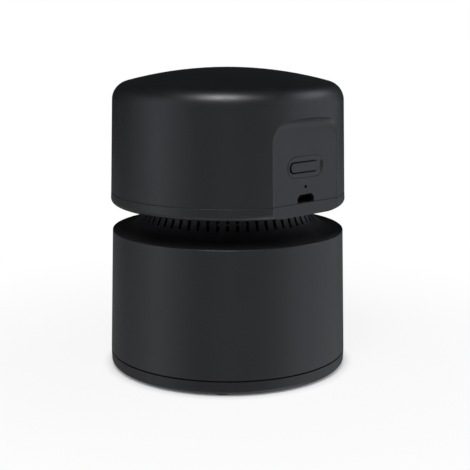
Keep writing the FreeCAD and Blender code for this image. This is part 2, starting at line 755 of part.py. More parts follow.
collar_bosses, collar_holes = [collar], []
collar_boss_high = rim
shroud_screw_length = (collar_boss_high - plate_low) * dim.bite_share
for number, degrees in enumerate(QUARTERS):
    x, y = on_circle(shroud_screw_circle, degrees)
    height = collar_boss_high - plate_top
    collar_bosses.append(rod("collar_boss_%d" % number, dim.shroud_boss, height, (x, y, plate_top)))
    place = (x, y, plate_low)
    collar_holes.append(rod("collar_pilot_%d" % number, pilot, shroud_screw_length + dim.screw_shank, place))
for number, degrees in enumerate(DIAGONALS):
    x, y = on_circle(collar_screw_circle, degrees)
    reach = dim.collar_flange + 2 * dim.overrun
    place = (x, y, flange_low - dim.overrun)
    collar_holes.append(rod("flange_hole_%d" % number, dim.screw_shank + dim.slide_gap, reach, place))
keep(cut("vent_collar_body", fuse("collar_walls", collar_bosses), collar_holes), "vent_collar")

seal_inner = skirt_outer - dim.seal_depth
seal_outer = cup_bore - dim.slide_gap
keep(turned("seal_body", [
    (seal_inner, seal_low),
    (seal_outer - dim.seal_round, seal_low, "left", dim.seal_round),
    (seal_outer, seal_low + dim.seal_round),
    (seal_outer, seal_low + dim.seal_height - dim.seal_round, "left", dim.seal_round),
    (seal_outer - dim.seal_round, seal_low + dim.seal_height),
    (seal_inner, seal_low + dim.seal_height),
]), "seal_ring")

# Fan plate: a disc under the impeller with a belled air inlet, a guard and the filter's spigot.

spigot_outer = dim.eye_radius + dim.spigot_wall
spigot_low = plate_low - dim.spigot_height
plate_disc = turned("plate_disc", [
    (dim.eye_radius, spigot_low),
    (spigot_outer, spigot_low),
    (spigot_outer, plate_low),
    (skirt_inner - dim.seat_gap, plate_low),
    (skirt_inner - dim.seat_gap, plate_top),
    (dim.eye_radius + dim.eye_round, plate_top, "left", dim.eye_round),
    (dim.eye_radius, plate_top - dim.eye_round),
])
guard_length = 2 * dim.eye_radius + dim.spigot_wall
guards = []
for number, degrees in enumerate((0, 60, 120)):
    bar = block("guard_%d" % number, (guard_length, dim.guard_wall, 2 * dim.guard_wall), (ZERO, ZERO, ZERO))
    along_x, along_y = on_circle(guard_length / 2, degrees)
    side_x, side_y = on_circle(dim.guard_wall / 2, degrees - 90)
    put(bar, (side_x - along_x, side_y - along_y, spigot_low), (Z_AXIS, degrees))
    guards.append(bar)
plate_holes, shroud_screws = [], []
for number, degrees in enumerate(QUARTERS):
    x, y = on_circle(shroud_screw_circle, degrees)
    free = dim.screw_shank + dim.slide_gap
    reach = dim.plate_wall + 2 * dim.overrun
    plate_holes.append(rod("plate_hole_%d" % number, free, reach, (x, y, plate_low - dim.overrun)))
    shroud_screws.append(screw("shroud_screw_%d" % number, dim.screw_head, dim.screw_shank,
                               shroud_screw_length, (x, y, plate_low), "up"))
keep(cut("fan_shroud_body", fuse("plate_walls", [plate_disc] + guards), plate_holes), "fan_shroud")
keep(group("shroud_screw_group", shroud_screws), "shroud_screws")

# Impeller: hub and back plate, nine blades that curve backwards, and a sloping front ring round the eye.
# This is the piece that takes the most skill.

fan_eye = dim.blade_root - dim.fan_wall
blade_low_rim = fan_low + dim.fan_wall + dim.fan_taper
hub_low = fan_back - dim.hub_drop
hub_bore = dim.shaft_radius + dim.thread_gap
impeller = turned("fan_back_plate", [
    (hub_bore, hub_low),
    (dim.hub_radius - dim.fan_wall, hub_low, "left", dim.fan_wall),
    (dim.hub_radius, hub_low + dim.fan_wall),
    (dim.hub_radius, fan_back - dim.fan_wall, "right", dim.fan_wall),
    (dim.hub_radius + dim.fan_wall, fan_back),
    (fan_radius, fan_back),
    (fan_radius, fan_top),
    (dim.hub_radius, fan_top),
    (dim.hub_radius, fan_top + dim.hub_rise),
    (hub_bore, fan_top + dim.hub_rise),
])
blade_sketch = new_sketch(impeller, "blade_outline", "XY_Plane", fan_low)
tip_radius = fan_radius - dim.fan_wall / 2
tip_x, tip_y = on_circle(tip_radius, dim.blade_sweep)
way_x = tip_x - dim.blade_root
chord = root(way_x * way_x + tip_y * tip_y)
arc_depth = root(dim.blade_arc * dim.blade_arc - chord * chord / 4)
arc_x = (dim.blade_root + tip_x) / 2 - arc_depth * tip_y / chord
arc_y = tip_y / 2 + arc_depth * way_x / chord
inner_arc = dim.blade_arc - dim.fan_wall
inner_share = inner_arc / dim.blade_arc
outline(blade_sketch, [
    (dim.blade_root, ZERO, "left", dim.blade_arc),
    (tip_x, tip_y),
    (arc_x + (tip_x - arc_x) * inner_share, arc_y + (tip_y - arc_y) * inner_share, "right", inner_arc),
    (arc_x + (dim.blade_root - arc_x) * inner_share, arc_y - arc_y * inner_share),
])
blade = impeller.newObject("PartDesign::Pad", "blade")
blade.Profile = blade_sketch
bind(blade, Length=fan_back + dim.fan_wall / 2 - fan_low)
blades = impeller.newObject("PartDesign::PolarPattern", "blades")
blades.Originals = [blade]
blades.Axis = (blade_sketch, ["N_Axis"])
blades.Angle = 360
bind(blades, Occurrences=dim.blade_count)
impeller.Tip = blades
doc.recompute()
blade_foot, blade_foot_rim = fan_low + dim.fan_wall / 2, blade_low_rim - dim.fan_wall / 2
turned("fan_under", [
    (fan_eye - dim.fan_wall, fan_low - dim.overrun),
    (fan_radius + dim.overrun, fan_low - dim.overrun),
    (fan_radius + dim.overrun, blade_foot_rim),
    (fan_radius, blade_foot_rim),
    (fan_eye, blade_foot),
    (fan_eye - dim.fan_wall, blade_foot),
], body=impeller, subtract=True)
front_sketch = new_sketch(impeller, "front_ring_section", "XZ_Plane")
outline(front_sketch, [
    (fan_eye, fan_low),
    (fan_radius, blade_low_rim - dim.fan_wall),
    (fan_radius, blade_low_rim),
    (fan_eye, fan_low + dim.fan_wall),
])
front_ring = impeller.newObject("PartDesign::Revolution", "front_ring")
front_ring.Profile = front_sketch
front_ring.ReferenceAxis = (front_sketch, ["V_Axis"])
front_ring.Angle = 360
impeller.Tip = front_ring
keep(impeller, "impeller")


# Head: the wall leans in by a steady taper, turns over a round shoulder and closes in a shallow dome.

def head_section(inset, low):
    """Half section of the head drawn in by inset, closed at the level low."""
    crown = dim.head_crown
    shoulder_x = head_top_radius - dim.head_shoulder
    ball = dome_top - crown
    inner_reach = crown - dim.head_shoulder
    shoulder_z = ball + root(inner_reach * inner_reach - shoulder_x * shoulder_x)
    lean = (dim.head_radius - head_top_radius) / (shoulder_z - head_low)
    spread = (crown - inset) / inner_reach
    return [
        (ZERO, low),
        (dim.head_radius - (low - head_low) * lean - inset, low),
        (head_top_radius - inset, shoulder_z, "left", dim.head_shoulder - inset),
        (shoulder_x * spread, ball + (shoulder_z - ball) * spread, "left", crown - inset),
        (ZERO, dome_top - inset),
    ]


def head_radius_at(level):
    return head_section(ZERO, level)[1][0]


# The control panel is a flat that follows the wall's taper and ends in an arch with a hollow round.

shoulder_level = head_section(ZERO, head_low)[2][1]
lean_run = dim.head_radius - head_top_radius
lean_rise = shoulder_level - head_low
lean_angle = Size(math.degrees(math.atan2(lean_run.value, lean_rise.value)),
                  "atan(%s / %s)" % (lean_run.text, lean_rise.text))


def panel_plane(level):
    """Distance of the panel from the axis at a level."""
    return facet_depth - (level - head_low) * lean_run / lean_rise


def panel_cutter(name, inset):
    """The shape that cuts the panel into the head, or into its hollow when drawn in by inset."""
    deep = dim.head_radius - facet_depth + inset + 2 * dim.overrun + dim.facet_cove + dim.head_wall
    below = 2 * dim.head_wall
    half = dim.facet_half + inset
    tall = dim.facet_height + inset + below
    plain = block(name + "_plain", (2 * half, deep, tall), (ZERO, ZERO, ZERO))
    corners = rounded(name + "_corners", plain, [(
        lambda edge: runs_along(Y_AXIS)(edge) and edge.CenterOfMass.z > tall.value / 2,
        dim.facet_corner + inset)])

    def on_inner_top(edge):
        box = edge.BoundBox
        flat = max(abs(box.YMin - deep.value), abs(box.YMax - deep.value)) < NEAR
        return flat and box.ZMax > tall.value / 2
    coved = rounded(name, corners, [(on_inner_top, dim.facet_cove + inset)])
    cosine_lean, sine_lean = cosine(lean_angle), sine(lean_angle)
    start_y = -(facet_depth - inset)
    place_y = start_y - deep * cosine_lean - below * sine_lean
    place_z = head_low + deep * sine_lean - below * cosine_lean
    return put(coved, (-half, place_y, place_z), (-X_AXIS, lean_angle))


def seam_line(name):
    """The fine groove at the head seam, where it crosses the panel."""
    spans = (2 * dim.facet_half, dim.groove_depth + dim.overrun, 2 * dim.groove_half)
    place_y = -(panel_plane(head_joint) + dim.overrun)
    return block(name, spans, (-dim.facet_half, place_y, head_joint - dim.groove_half))


ring_inner = head_radius_at(head_joint) - dim.head_wall
lip_ring_outer = ring_inner - dim.seat_gap
base_outside = turned("head_base_outside", [
    (ZERO, head_low),
    (dim.head_radius - dim.head_round, head_low, "left", dim.head_round),
    (dim.head_radius, head_low + dim.head_round),
    (head_radius_at(head_joint - dim.groove_half), head_joint - dim.groove_half),
    (head_radius_at(head_joint) - dim.groove_depth, head_joint),
    (ZERO, head_joint),
])
base_hollow = turned("head_base_hollow", [
    (ZERO, head_floor),
    (ring_inner, head_floor),
    (ring_inner, head_joint + dim.overrun),
    (ZERO, head_joint + dim.overrun),
])
base_solid = cut("head_base_solid", base_outside, [panel_cutter("base_panel", ZERO), seam_line("base_line")])
base_hollow_cut = cut("head_base_hollow_cut", base_hollow, [panel_cutter("base_panel_inner", dim.head_wall)])
base_tray = cut("head_base_tray", base_solid, [base_hollow_cut])
lip_high = head_joint + dim.head_lip_height
lip_ring = turned("head_lip_ring", [
    (lip_ring_outer - dim.head_lip, head_floor - dim.head_wall / 2),
    (lip_ring_outer, head_floor - dim.head_wall / 2),
    (lip_ring_outer, lip_high),
    (lip_ring_outer - dim.head_lip, lip_high),
])
lip_break_y = facet_depth - 3 * dim.head_wall
lip_break = block("lip_break", (2 * dim.facet_half, dim.head_radius, dim.head_height),
                  (-dim.facet_half, -(dim.head_radius + lip_break_y), head_low))
lip_gaps = [lip_break]
cover_boss_low = head_floor + dim.head_wall / 2
for number, degrees in enumerate(DIAGONALS):
    x, y = on_circle(cover_screw_circle, degrees)
    wide = dim.cover_boss + dim.seat_gap
    lip_gaps.append(rod("lip_gap_%d" % number, wide, dim.head_height, (x, y, head_floor)))
lip = cut("head_lip", lip_ring, lip_gaps)
floor_pieces, floor_cuts = [base_tray, lip], []
cover_seat = head_low + dim.screw_head_height + dim.seat_gap
for number, degrees in enumerate(DIAGONALS):
    x, y = on_circle(cover_screw_circle, degrees)
    floor_pieces.append(rod("floor_rise_%d" % number, dim.screw_head + 2 * dim.head_gap,
                            cover_boss_low - head_low - dim.seat_gap, (x, y, head_low + dim.seat_gap)))
    sink = dim.screw_head + dim.head_gap
    floor_cuts.append(rod("floor_sink_%d" % number, sink, cover_seat - head_low + dim.overrun,
                          (x, y, head_low - dim.overrun)))
    free = dim.screw_shank + dim.slide_gap
    floor_cuts.append(rod("floor_hole_%d" % number, free, dim.head_seam, (x, y, head_low)))
    x, y = on_circle(collar_screw_circle, degrees)
    floor_pieces.append(rod("floor_boss_%d" % number, dim.collar_boss, dim.collar_boss_height + dim.overrun,
                            (x, y, head_floor - dim.overrun)))
    floor_cuts.append(rod("floor_pilot_%d" % number, pilot, dim.head_wall + dim.collar_boss_height,
                          (x, y, head_low - dim.overrun)))
floor_cuts.append(rod("motor_boss_hole", dim.motor_boss + dim.seat_gap, 2 * dim.head_seam,
                      (ZERO, ZERO, head_low - dim.overrun)))
for side in (-1, 1):
    floor_cuts.append(rod("motor_hole_%d" % (side + 1), dim.screw_shank + dim.slide_gap, 2 * dim.head_wall,
                          (dim.motor_screw_spread * side, ZERO, head_low - dim.overrun)))
keep(cut("head_base_body", fuse("head_base_walls", floor_pieces), floor_cuts), "head_base")

cover_section = head_section(ZERO, head_joint)
cover_outside = turned("cover_outside", [
    (ZERO, head_joint),
    (head_radius_at(head_joint) - dim.groove_depth, head_joint),
    (head_radius_at(head_joint + dim.groove_half), head_joint + dim.groove_half),
] + cover_section[2:])
cover_hollow = turned("cover_hollow", head_section(dim.head_wall, head_joint - dim.overrun))
cover_solid = cut("cover_solid", cover_outside, [panel_cutter("cover_panel", ZERO), seam_line("cover_line")])
cover_hollow_cut = cut("cover_hollow_cut", cover_hollow, [panel_cutter("cover_panel_inner", dim.head_wall)])
cover_pieces = [cut("cover_shell", cover_solid, [cover_hollow_cut])]
button_z = head_low + dim.button_level
lamp_z = head_low + dim.lamp_level
board_low = head_floor + dim.board_lift
board_high = board_low + dim.board_height
post_levels = [board_low + dim.board_height * share for share in (dim.low_post_share, dim.high_post_share)]
for number, degrees in enumerate(DIAGONALS):
    x, y = on_circle(cover_screw_circle, degrees)
    cover_pieces.append(rod("cover_boss_%d" % number, dim.cover_boss, dim.cover_boss_height,
                            (x, y, cover_boss_low)))
    reach = head_radius_at(head_joint) - dim.head_wall / 2 - cover_screw_circle
    web_low = lip_high + dim.seat_gap
    web_high = cover_boss_low + dim.cover_boss_height
    web = block("cover_web_%d" % number, (reach, dim.web_wall, web_high - web_low), (ZERO, ZERO, ZERO))
    side_x, side_y = on_circle(dim.web_wall / 2, degrees - 90)
    cover_pieces.append(put(web, (x + side_x, y + side_y, web_low), (Z_AXIS, degrees)))
posts = [(side, number) for side in (-1, 1) for number in range(len(post_levels))]
for side, number in posts:
    level = post_levels[number]
    start = -(panel_plane(level) - dim.head_wall / 2)
    cover_pieces.append(rod("post_%d_%d" % (side + 1, number), dim.post_radius, -start - board_depth,
                            (dim.post_spread * side, start, level), "back"))
cover_cuts = []
for number, degrees in enumerate(DIAGONALS):
    x, y = on_circle(cover_screw_circle, degrees)
    cover_cuts.append(rod("cover_pilot_%d" % number, pilot, dim.cover_boss_height - dim.head_wall,
                          (x, y, cover_boss_low - dim.overrun)))
small_pilot = dim.small_shank + dim.thread_gap
post_pilot_depth = panel_plane(board_high) - board_depth - dim.head_wall
for side, number in posts:
    place = (dim.post_spread * side, dim.overrun - board_depth, post_levels[number])
    cover_cuts.append(rod("post_pilot_%d_%d" % (side + 1, number), small_pilot,
                          post_pilot_depth + dim.overrun, place, "front"))
panel_span = 2 * dim.head_wall + dim.facet_cove
opening_start = -(panel_plane(button_z) - dim.head_wall - dim.overrun)
cover_cuts.append(pill("button_opening", dim.button_length + 2 * dim.button_gap,
                       dim.button_width + 2 * dim.button_gap, panel_span, (ZERO, opening_start, button_z)))
cover_cuts.append(rod("lamp_hole", dim.lamp_radius, panel_span, (ZERO, opening_start, lamp_z), "front"))
usb_low = head_joint + dim.usb_clear
usb_half = dim.usb_width / 2
port_corners = socket_corners(usb_half + dim.usb_clear, head_joint - dim.overrun,
                              dim.usb_height + 2 * dim.usb_clear + dim.overrun, dim.usb_slope)
cover_cuts.append(standing_pad("usb_opening", port_corners, panel_span, -(facet_depth + dim.overrun)))
keep(cut("head_cover_body", fuse("cover_walls", cover_pieces), cover_cuts), "head_cover")

cover_screws, collar_screws = [], []
for number, degrees in enumerate(DIAGONALS):
    x, y = on_circle(cover_screw_circle, degrees)
    length = dim.cover_boss_height * dim.bite_share
    cover_screws.append(screw("cover_screw_%d" % number, dim.screw_head, dim.screw_shank, length,
                              (x, y, cover_seat), "up"))
    x, y = on_circle(collar_screw_circle, degrees)
    length = dim.collar_flange + dim.head_wall + dim.collar_boss_height * dim.bite_share
    collar_screws.append(screw("collar_screw_%d" % number, dim.screw_head, dim.screw_shank, length,
                               (x, y, flange_low), "up"))
keep(group("cover_screw_group", cover_screws), "cover_screws")
keep(group("collar_screw_group", collar_screws), "collar_screws")

# Power button: a pill with a raised bar, a retaining flange behind the panel and the switch plunger.

switch_front = -(board_depth + dim.switch_depth)
plunger_tip = switch_front - dim.plunger_reach
flange_back = plunger_tip - dim.touch_gap
face_y = -(panel_plane(button_z) + dim.button_proud)


def lies_at(depth):
    def test(edge):
        box = edge.BoundBox
        return max(abs(box.YMin - depth.value), abs(box.YMax - depth.value)) < NEAR
    return test


pill_cap = pill("button_cap", dim.button_length, dim.button_width, flange_back - face_y,
                (ZERO, flange_back, button_z))
cap_round = rounded("button_cap_round", pill_cap, [(lies_at(face_y), dim.button_round)])
ridge_front = face_y - dim.ridge_height
ridge_pill = pill("button_ridge", dim.ridge_length, dim.ridge_width, 2 * dim.ridge_height,
                  (ZERO, face_y + dim.ridge_height, button_z))
ridge = rounded("button_ridge_round", ridge_pill, [(lies_at(ridge_front), dim.ridge_round)])
flange_pill = pill("button_rim", dim.button_length + 2 * dim.button_flange,
                   dim.button_width + 2 * dim.button_flange, dim.button_flange_wall,
                   (ZERO, flange_back, button_z))
keep(fuse("power_button_body", [cap_round, flange_pill, ridge]), "power_button")
keep(rod("plunger", dim.plunger_radius, dim.plunger_reach + dim.plunger_root,
         (ZERO, switch_front + dim.plunger_root, button_z), "front"), "switch_plunger")

# Control board with its switch, lamp, light pipe, charging socket and chips.

board_back = dim.board_wall - board_depth
board_plate = block("board_plate", (dim.board_width, dim.board_wall, dim.board_height),
                    (-dim.board_width / 2, -board_depth, board_low))
board_cuts, board_screws = [], []
small_free = dim.small_shank + dim.slide_gap / 2
for side, number in posts:
    place = (dim.post_spread * side, board_back + dim.overrun, post_levels[number])
    board_cuts.append(rod("board_hole_%d_%d" % (side + 1, number), small_free,
                          dim.board_wall + 2 * dim.overrun, place, "front"))
    place = (dim.post_spread * side, board_back, post_levels[number])
    board_screws.append(screw("board_screw_%d_%d" % (side + 1, number), dim.small_head, dim.small_shank,
                              dim.board_wall + post_pilot_depth * dim.post_bite_share, place, "front"))
keep(cut("control_board_body", board_plate, board_cuts), "control_board")
keep(group("board_screw_group", board_screws), "board_screws")

half_switch = dim.switch_side / 2
switch_case = block("switch_case", (dim.switch_side, dim.switch_depth, dim.switch_side),
                    (-half_switch, switch_front, button_z - half_switch))
plunger_well = dim.plunger_root + dim.button_travel + dim.seat_gap
switch_bore = rod("switch_bore", dim.plunger_radius + dim.seat_gap, plunger_well + dim.overrun,
                  (ZERO, switch_front + plunger_well, button_z), "front")
keep(cut("tact_switch_body", switch_case, [switch_bore]), "tact_switch")

lamp_side = 2 * dim.lamp_radius + dim.lead_radius
lamp_case = block("lamp_case", (lamp_side, dim.board_wall, lamp_side),
                  (-lamp_side / 2, -(board_depth + dim.board_wall), lamp_z - lamp_side / 2))
keep(lamp_case, "status_led")
pipe_front = -(panel_plane(lamp_z) - dim.pipe_sink)
pipe_shoulder = -(panel_plane(lamp_z) - dim.head_wall - dim.seat_gap)
pipe_start = -(board_depth + dim.board_wall)
pipe_stem = rod("pipe_stem", dim.lamp_radius - dim.thread_gap, pipe_start - pipe_front,
                (ZERO, pipe_start, lamp_z), "front")
pipe_base = rod("pipe_base", 2 * dim.lamp_radius, pipe_start - pipe_shoulder,
                (ZERO, pipe_start, lamp_z), "front")
keep(fuse("light_pipe", [pipe_stem, pipe_base]), "status_light_pipe")

usb_front = -(panel_plane(usb_low) - dim.usb_sink)
usb_depth = -usb_front - board_depth
usb_outside = standing_pad("usb_outside", socket_corners(usb_half, usb_low, dim.usb_height, dim.usb_slope),
                           usb_depth, usb_front)
usb_inside = standing_pad("usb_inside", socket_corners(usb_half - dim.usb_wall, usb_low + dim.usb_wall,
                                                       dim.usb_height - 2 * dim.usb_wall, dim.usb_slope),
                          usb_depth, usb_front - dim.board_wall)
keep(cut("usb_shell", usb_outside, [usb_inside]), "usb_socket")
tongue_half = usb_half - dim.usb_slope - dim.usb_wall
tongue_wall = dim.usb_height / 4
tongue_depth = (usb_depth - dim.board_wall) * dim.tongue_share
tongue_back = -(board_depth + dim.board_wall)
keep(block("usb_tongue_body", (2 * tongue_half, tongue_depth, tongue_wall),
           (-tongue_half, tongue_back - tongue_depth, usb_low + dim.usb_height / 2)), "usb_tongue")

# Each chip: across, up, width and height, as parts of the board's width and height.
chip_shares = [
    (-0.25, 0.62, 0.22, 0.18),
    (0.22, 0.66, 0.16, 0.14),
    (-0.28, 0.25, 0.12, 0.12),
    (0.05, 0.3, 0.1, 0.2),
]
chips = []
for number, (across, up, wide, tall) in enumerate(chip_shares):
    spans = (dim.board_width * wide, dim.board_wall, dim.board_height * tall)
    chips.append(block("chip_%d" % number, spans, (dim.board_width * across - spans[0] / 2, board_back,
                                                   board_low + dim.board_height * up)))
coil_z = board_low + dim.board_height * dim.inductor_z_share
chips.append(rod("board_inductor", dim.post_radius, 2 * dim.board_wall,
                 (dim.board_width * dim.inductor_x_share, board_back, coil_z), "back"))
keep(group("chip_group", chips), "board_chips")

# Motor: drawn steel can with its bearing boss, bushes, two magnets, end cap, terminals and screws.

bush_outer = dim.bush_radius
can = turned("can", [
    (bush_outer, motor_low - dim.motor_boss_height),
    (dim.motor_boss, motor_low - dim.motor_boss_height),
    (dim.motor_boss, motor_low),
    (dim.motor_radius - dim.motor_wall, motor_low, "left", dim.motor_wall),
    (dim.motor_radius, motor_low + dim.motor_wall),
    (dim.motor_radius, motor_high),
    (dim.motor_radius - dim.motor_wall, motor_high),
    (dim.motor_radius - dim.motor_wall, motor_low + dim.motor_wall),
    (bush_outer, motor_low + dim.motor_wall),
])
can_holes, motor_screws = [], []
for side in (-1, 1):
    place = (dim.motor_screw_spread * side, ZERO, motor_low - dim.overrun)
    can_holes.append(rod("can_hole_%d" % (side + 1), pilot, dim.motor_wall + 2 * dim.overrun, place))
    place = (dim.motor_screw_spread * side, ZERO, head_low)
    motor_screws.append(screw("motor_screw_%d" % (side + 1), dim.screw_head, dim.screw_shank,
                              dim.head_wall + 2 * dim.motor_wall, place, "up"))
keep(cut("motor_can_body", can, can_holes), "motor_can")
keep(group("motor_screw_group", motor_screws), "motor_screws")

bush_bore = dim.shaft_radius + dim.shaft_gap
cap_top = motor_high + dim.cap_height
bush_lows = [motor_low - dim.motor_boss_height, cap_top - dim.bush_length + dim.motor_wall]
bushes = []
for number, low in enumerate(bush_lows):
    high = low + dim.bush_length
    bushes.append(turned("bush_%d" % number, [
        (bush_bore, low),
        (bush_outer, low),
        (bush_outer, high),
        (bush_bore, high),
    ]))
keep(group("bush_group", bushes), "motor_bushes")

magnet_outer = dim.motor_radius - dim.motor_wall
magnet_inner = magnet_outer - dim.magnet_wall
core_middle = (motor_low + motor_high) / 2
magnet_low = core_middle - dim.magnet_length / 2
magnet_high = magnet_low + dim.magnet_length
magnet_ring = turned("magnet_ring", [
    (magnet_inner, magnet_low),
    (magnet_outer, magnet_low),
    (magnet_outer, magnet_high),
    (magnet_inner, magnet_high),
])
magnet_gap = centred("magnet_gap", (3 * dim.motor_radius, dim.motor_radius / 2, dim.motor_length),
                     ZERO, ZERO, motor_low)
keep(cut("magnet_pair", magnet_ring, [magnet_gap]), "motor_magnets")

cap_disc = turned("cap_disc", [
    (bush_outer, bush_lows[1]),
    (dim.motor_boss + dim.motor_wall, bush_lows[1]),
    (dim.motor_boss + dim.motor_wall, motor_high - dim.motor_wall),
    (magnet_outer - dim.seat_gap, motor_high - dim.motor_wall),
    (magnet_outer - dim.seat_gap, motor_high),
    (dim.motor_radius, motor_high),
    (dim.motor_radius, cap_top),
    (dim.motor_boss + dim.motor_wall, cap_top),
    (dim.motor_boss + dim.motor_wall, cap_top + dim.motor_wall),
    (bush_outer, cap_top + dim.motor_wall),
])
tab_spread = (dim.motor_radius + dim.motor_boss) / 2
terminals, tab_slots = [], []
for side in (-1, 1):
    x = tab_spread * side
    spans = (dim.tab_wall, dim.tab_width, dim.tab_height + dim.cap_height)
    terminals.append(centred("tab_%d" % (side + 1), spans, x, ZERO, motor_high))
    play = 2 * dim.thread_gap
    spans = (dim.tab_wall + play, dim.tab_width + play, dim.cap_height + dim.overrun)
    tab_slots.append(centred("tab_slot_%d" % (side + 1), spans, x, ZERO, motor_high))
keep(cut("end_cap_body", cap_disc, tab_slots), "motor_end_cap")
keep(group("tab_group", terminals), "motor_terminals")

# Rotor inside the motor: shaft, slotted core, winding heads and commutator.

shaft_low = hub_low + dim.fan_wall
keep(rod("shaft_rod", dim.shaft_radius, cap_top + dim.motor_wall + dim.shaft_radius - shaft_low,
         (ZERO, ZERO, shaft_low)), "motor_shaft")
core_radius = magnet_inner - dim.air_gap
core_low = core_middle - dim.core_length / 2
on_shaft = dim.shaft_radius + dim.thread_gap


def sleeve(name, radius, low, length):
    high = low + length
    return turned(name, [(on_shaft, low), (radius, low), (radius, high), (on_shaft, high)])


core_round = sleeve("core_round", core_radius, core_low, dim.core_length)
core_slots = []
for number, degrees in enumerate((0, 120, 240)):
    slot = block("core_slot_%d" % number, (core_radius, dim.motor_wall, dim.motor_length), (ZERO, ZERO, ZERO))
    along_x, along_y = on_circle(core_radius / 2, degrees)
    side_x, side_y = on_circle(dim.motor_wall / 2, degrees - 90)
    core_slots.append(put(slot, (along_x + side_x, along_y + side_y, motor_low), (Z_AXIS, degrees)))
keep(cut("core_body", core_round, core_slots), "armature_core")
coil_radius = core_radius * dim.coil_share
coil_lows = [core_low - dim.coil_height, core_low + dim.core_length]
coils = []
for number, low in enumerate(coil_lows):
    coils.append(sleeve("coil_%d" % number, coil_radius, low, dim.coil_height))
keep(group("coil_group", coils), "armature_coils")
keep(sleeve("commutator_body", dim.commutator_radius, coil_lows[1] + dim.coil_height, dim.commutator_length),
     "commutator")

# Battery: one upright cell in a cradle on the head's floor, with nickel tabs. The cell and the wall behind
# it stand midway between the motor and the head's lip.

cell_room = lip_ring_outer - dim.head_lip - dim.cradle_wall - dim.seat_gap
cell_y = (dim.motor_radius + cell_room) / 2
cradle_floor = head_floor + dim.cradle_wall
cell_low = cradle_floor + 2 * dim.nickel_wall
keep(rod("cell_body", dim.cell_radius, dim.cell_length, (ZERO, cell_y, cell_low)), "battery_cell")
cradle_inner = dim.cell_radius + dim.seat_gap
cradle_outer = cradle_inner + dim.cradle_wall
cradle_post = rod("cradle_post", cradle_outer, dim.cradle_height, (ZERO, cell_y, head_floor))
foot_width = 2 * cradle_outer + 4 * dim.screw_head
foot_spans = (foot_width, 3 * dim.screw_head, dim.cradle_wall)
cradle_foot = centred("cradle_foot", foot_spans, ZERO, cell_y, head_floor)
cradle_bore = rod("cradle_bore", cradle_inner, dim.cradle_height, (ZERO, cell_y, cradle_floor))
mouth_width = 2 * cradle_outer * dim.mouth_share
cradle_mouth = centred("cradle_mouth", (mouth_width, 2 * cradle_outer, dim.cradle_height),
                       ZERO, cell_y - cradle_outer, cradle_floor)
cradle_front = block("cradle_front", (2 * cradle_outer, cradle_outer - dim.cell_radius, dim.cradle_height),
                     (-cradle_outer, cell_y - cradle_outer, head_floor))
cradle_cuts, cradle_screws = [cradle_bore, cradle_mouth, cradle_front], []
cradle_screw_x = cradle_outer + dim.screw_head
for side in (-1, 1):
    x = cradle_screw_x * side
    place = (x, cell_y, head_floor - dim.overrun)
    cradle_cuts.append(rod("cradle_hole_%d" % (side + 1), small_free, 2 * dim.head_wall, place))
    cradle_screws.append(screw("cradle_screw_%d" % (side + 1), dim.small_head, dim.small_shank,
                               dim.cradle_wall, (x, cell_y, cradle_floor), "down"))
keep(cut("cradle_body", fuse("cradle_walls", [cradle_post, cradle_foot]), cradle_cuts), "battery_cradle")
keep(group("cradle_screw_group", cradle_screws), "cradle_screws")
tab_reach = dim.cell_radius * dim.nickel_share
tab_lows = [cell_low - dim.nickel_wall, cell_low + dim.cell_length]
nickel = []
for number, low in enumerate(tab_lows):
    spans = (2 * dim.tab_width, 2 * tab_reach, dim.nickel_wall)
    nickel.append(centred("nickel_%d" % number, spans, ZERO, cell_y, low))
keep(group("nickel_group", nickel), "battery_tabs")


# Leads: insulated wires in straight runs joined by tangent arcs.

def bent_path(spots, bend):
    """Straight runs between the spots, with an arc of the bend radius, or as large as fits, at each turn."""
    edges, start = [], spots[0]
    for before, spot, after in zip(spots, spots[1:], spots[2:]):
        come, leave = (spot - before).normalize(), (after - spot).normalize()
        turn = come.getAngle(leave)
        if turn < NEAR:
            continue
        reach = bend * math.tan(turn / 2)
        fit_share = dim.lead_fit_share.value
        reach = min(reach, fit_share * (spot - before).Length, fit_share * (after - spot).Length)
        first, last = spot - come * reach, spot + leave * reach
        radius = reach / math.tan(turn / 2)
        centre = spot + (leave - come).normalize() * (radius / math.cos(turn / 2))
        middle = centre + (spot - centre).normalize() * radius
        edges.append(Part.LineSegment(start, first).toShape())
        edges.append(Part.Arc(first, middle, last).toShape())
        start = last
    edges.append(Part.LineSegment(start, spots[-1]).toShape())
    return Part.Wire(edges)


def lead(places):
    spots = [V(float(x), float(y), float(z)) for x, y, z in places]
    path = bent_path(spots, dim.lead_bend.value)
    ring = Part.Wire([Part.Circle(spots[0], spots[1] - spots[0], dim.lead_radius.value).toShape()])
    return path.makePipeShell([ring], True, False)


def leads(name, routes):
    item = doc.addObject("Part::Feature", name)
    item.Shape = Part.Compound([lead(route) for route in routes])
    return item


over_cap = cap_top + dim.tab_height
lead_exit = 6 * dim.lead_radius
motor_lead_z = board_high - 2 * dim.board_wall
motor_routes = []
for side in (-1, 1):
    x = tab_spread * side
    start_y = -(dim.tab_width / 2 + dim.thread_gap)
    board_x = dim.board_width * dim.lead_side_share * side
    motor_routes.append([
        (x, start_y, over_cap - dim.lead_radius),
        (x, -dim.motor_radius, over_cap + dim.lead_radius),
        ((x + board_x) / 2, board_back / 2 - dim.motor_radius / 2, over_cap - dim.motor_boss),
        (board_x, board_back + lead_exit, motor_lead_z),
        (board_x, board_back, motor_lead_z),
    ])
keep(leads("motor_lead_group", motor_routes), "motor_leads")

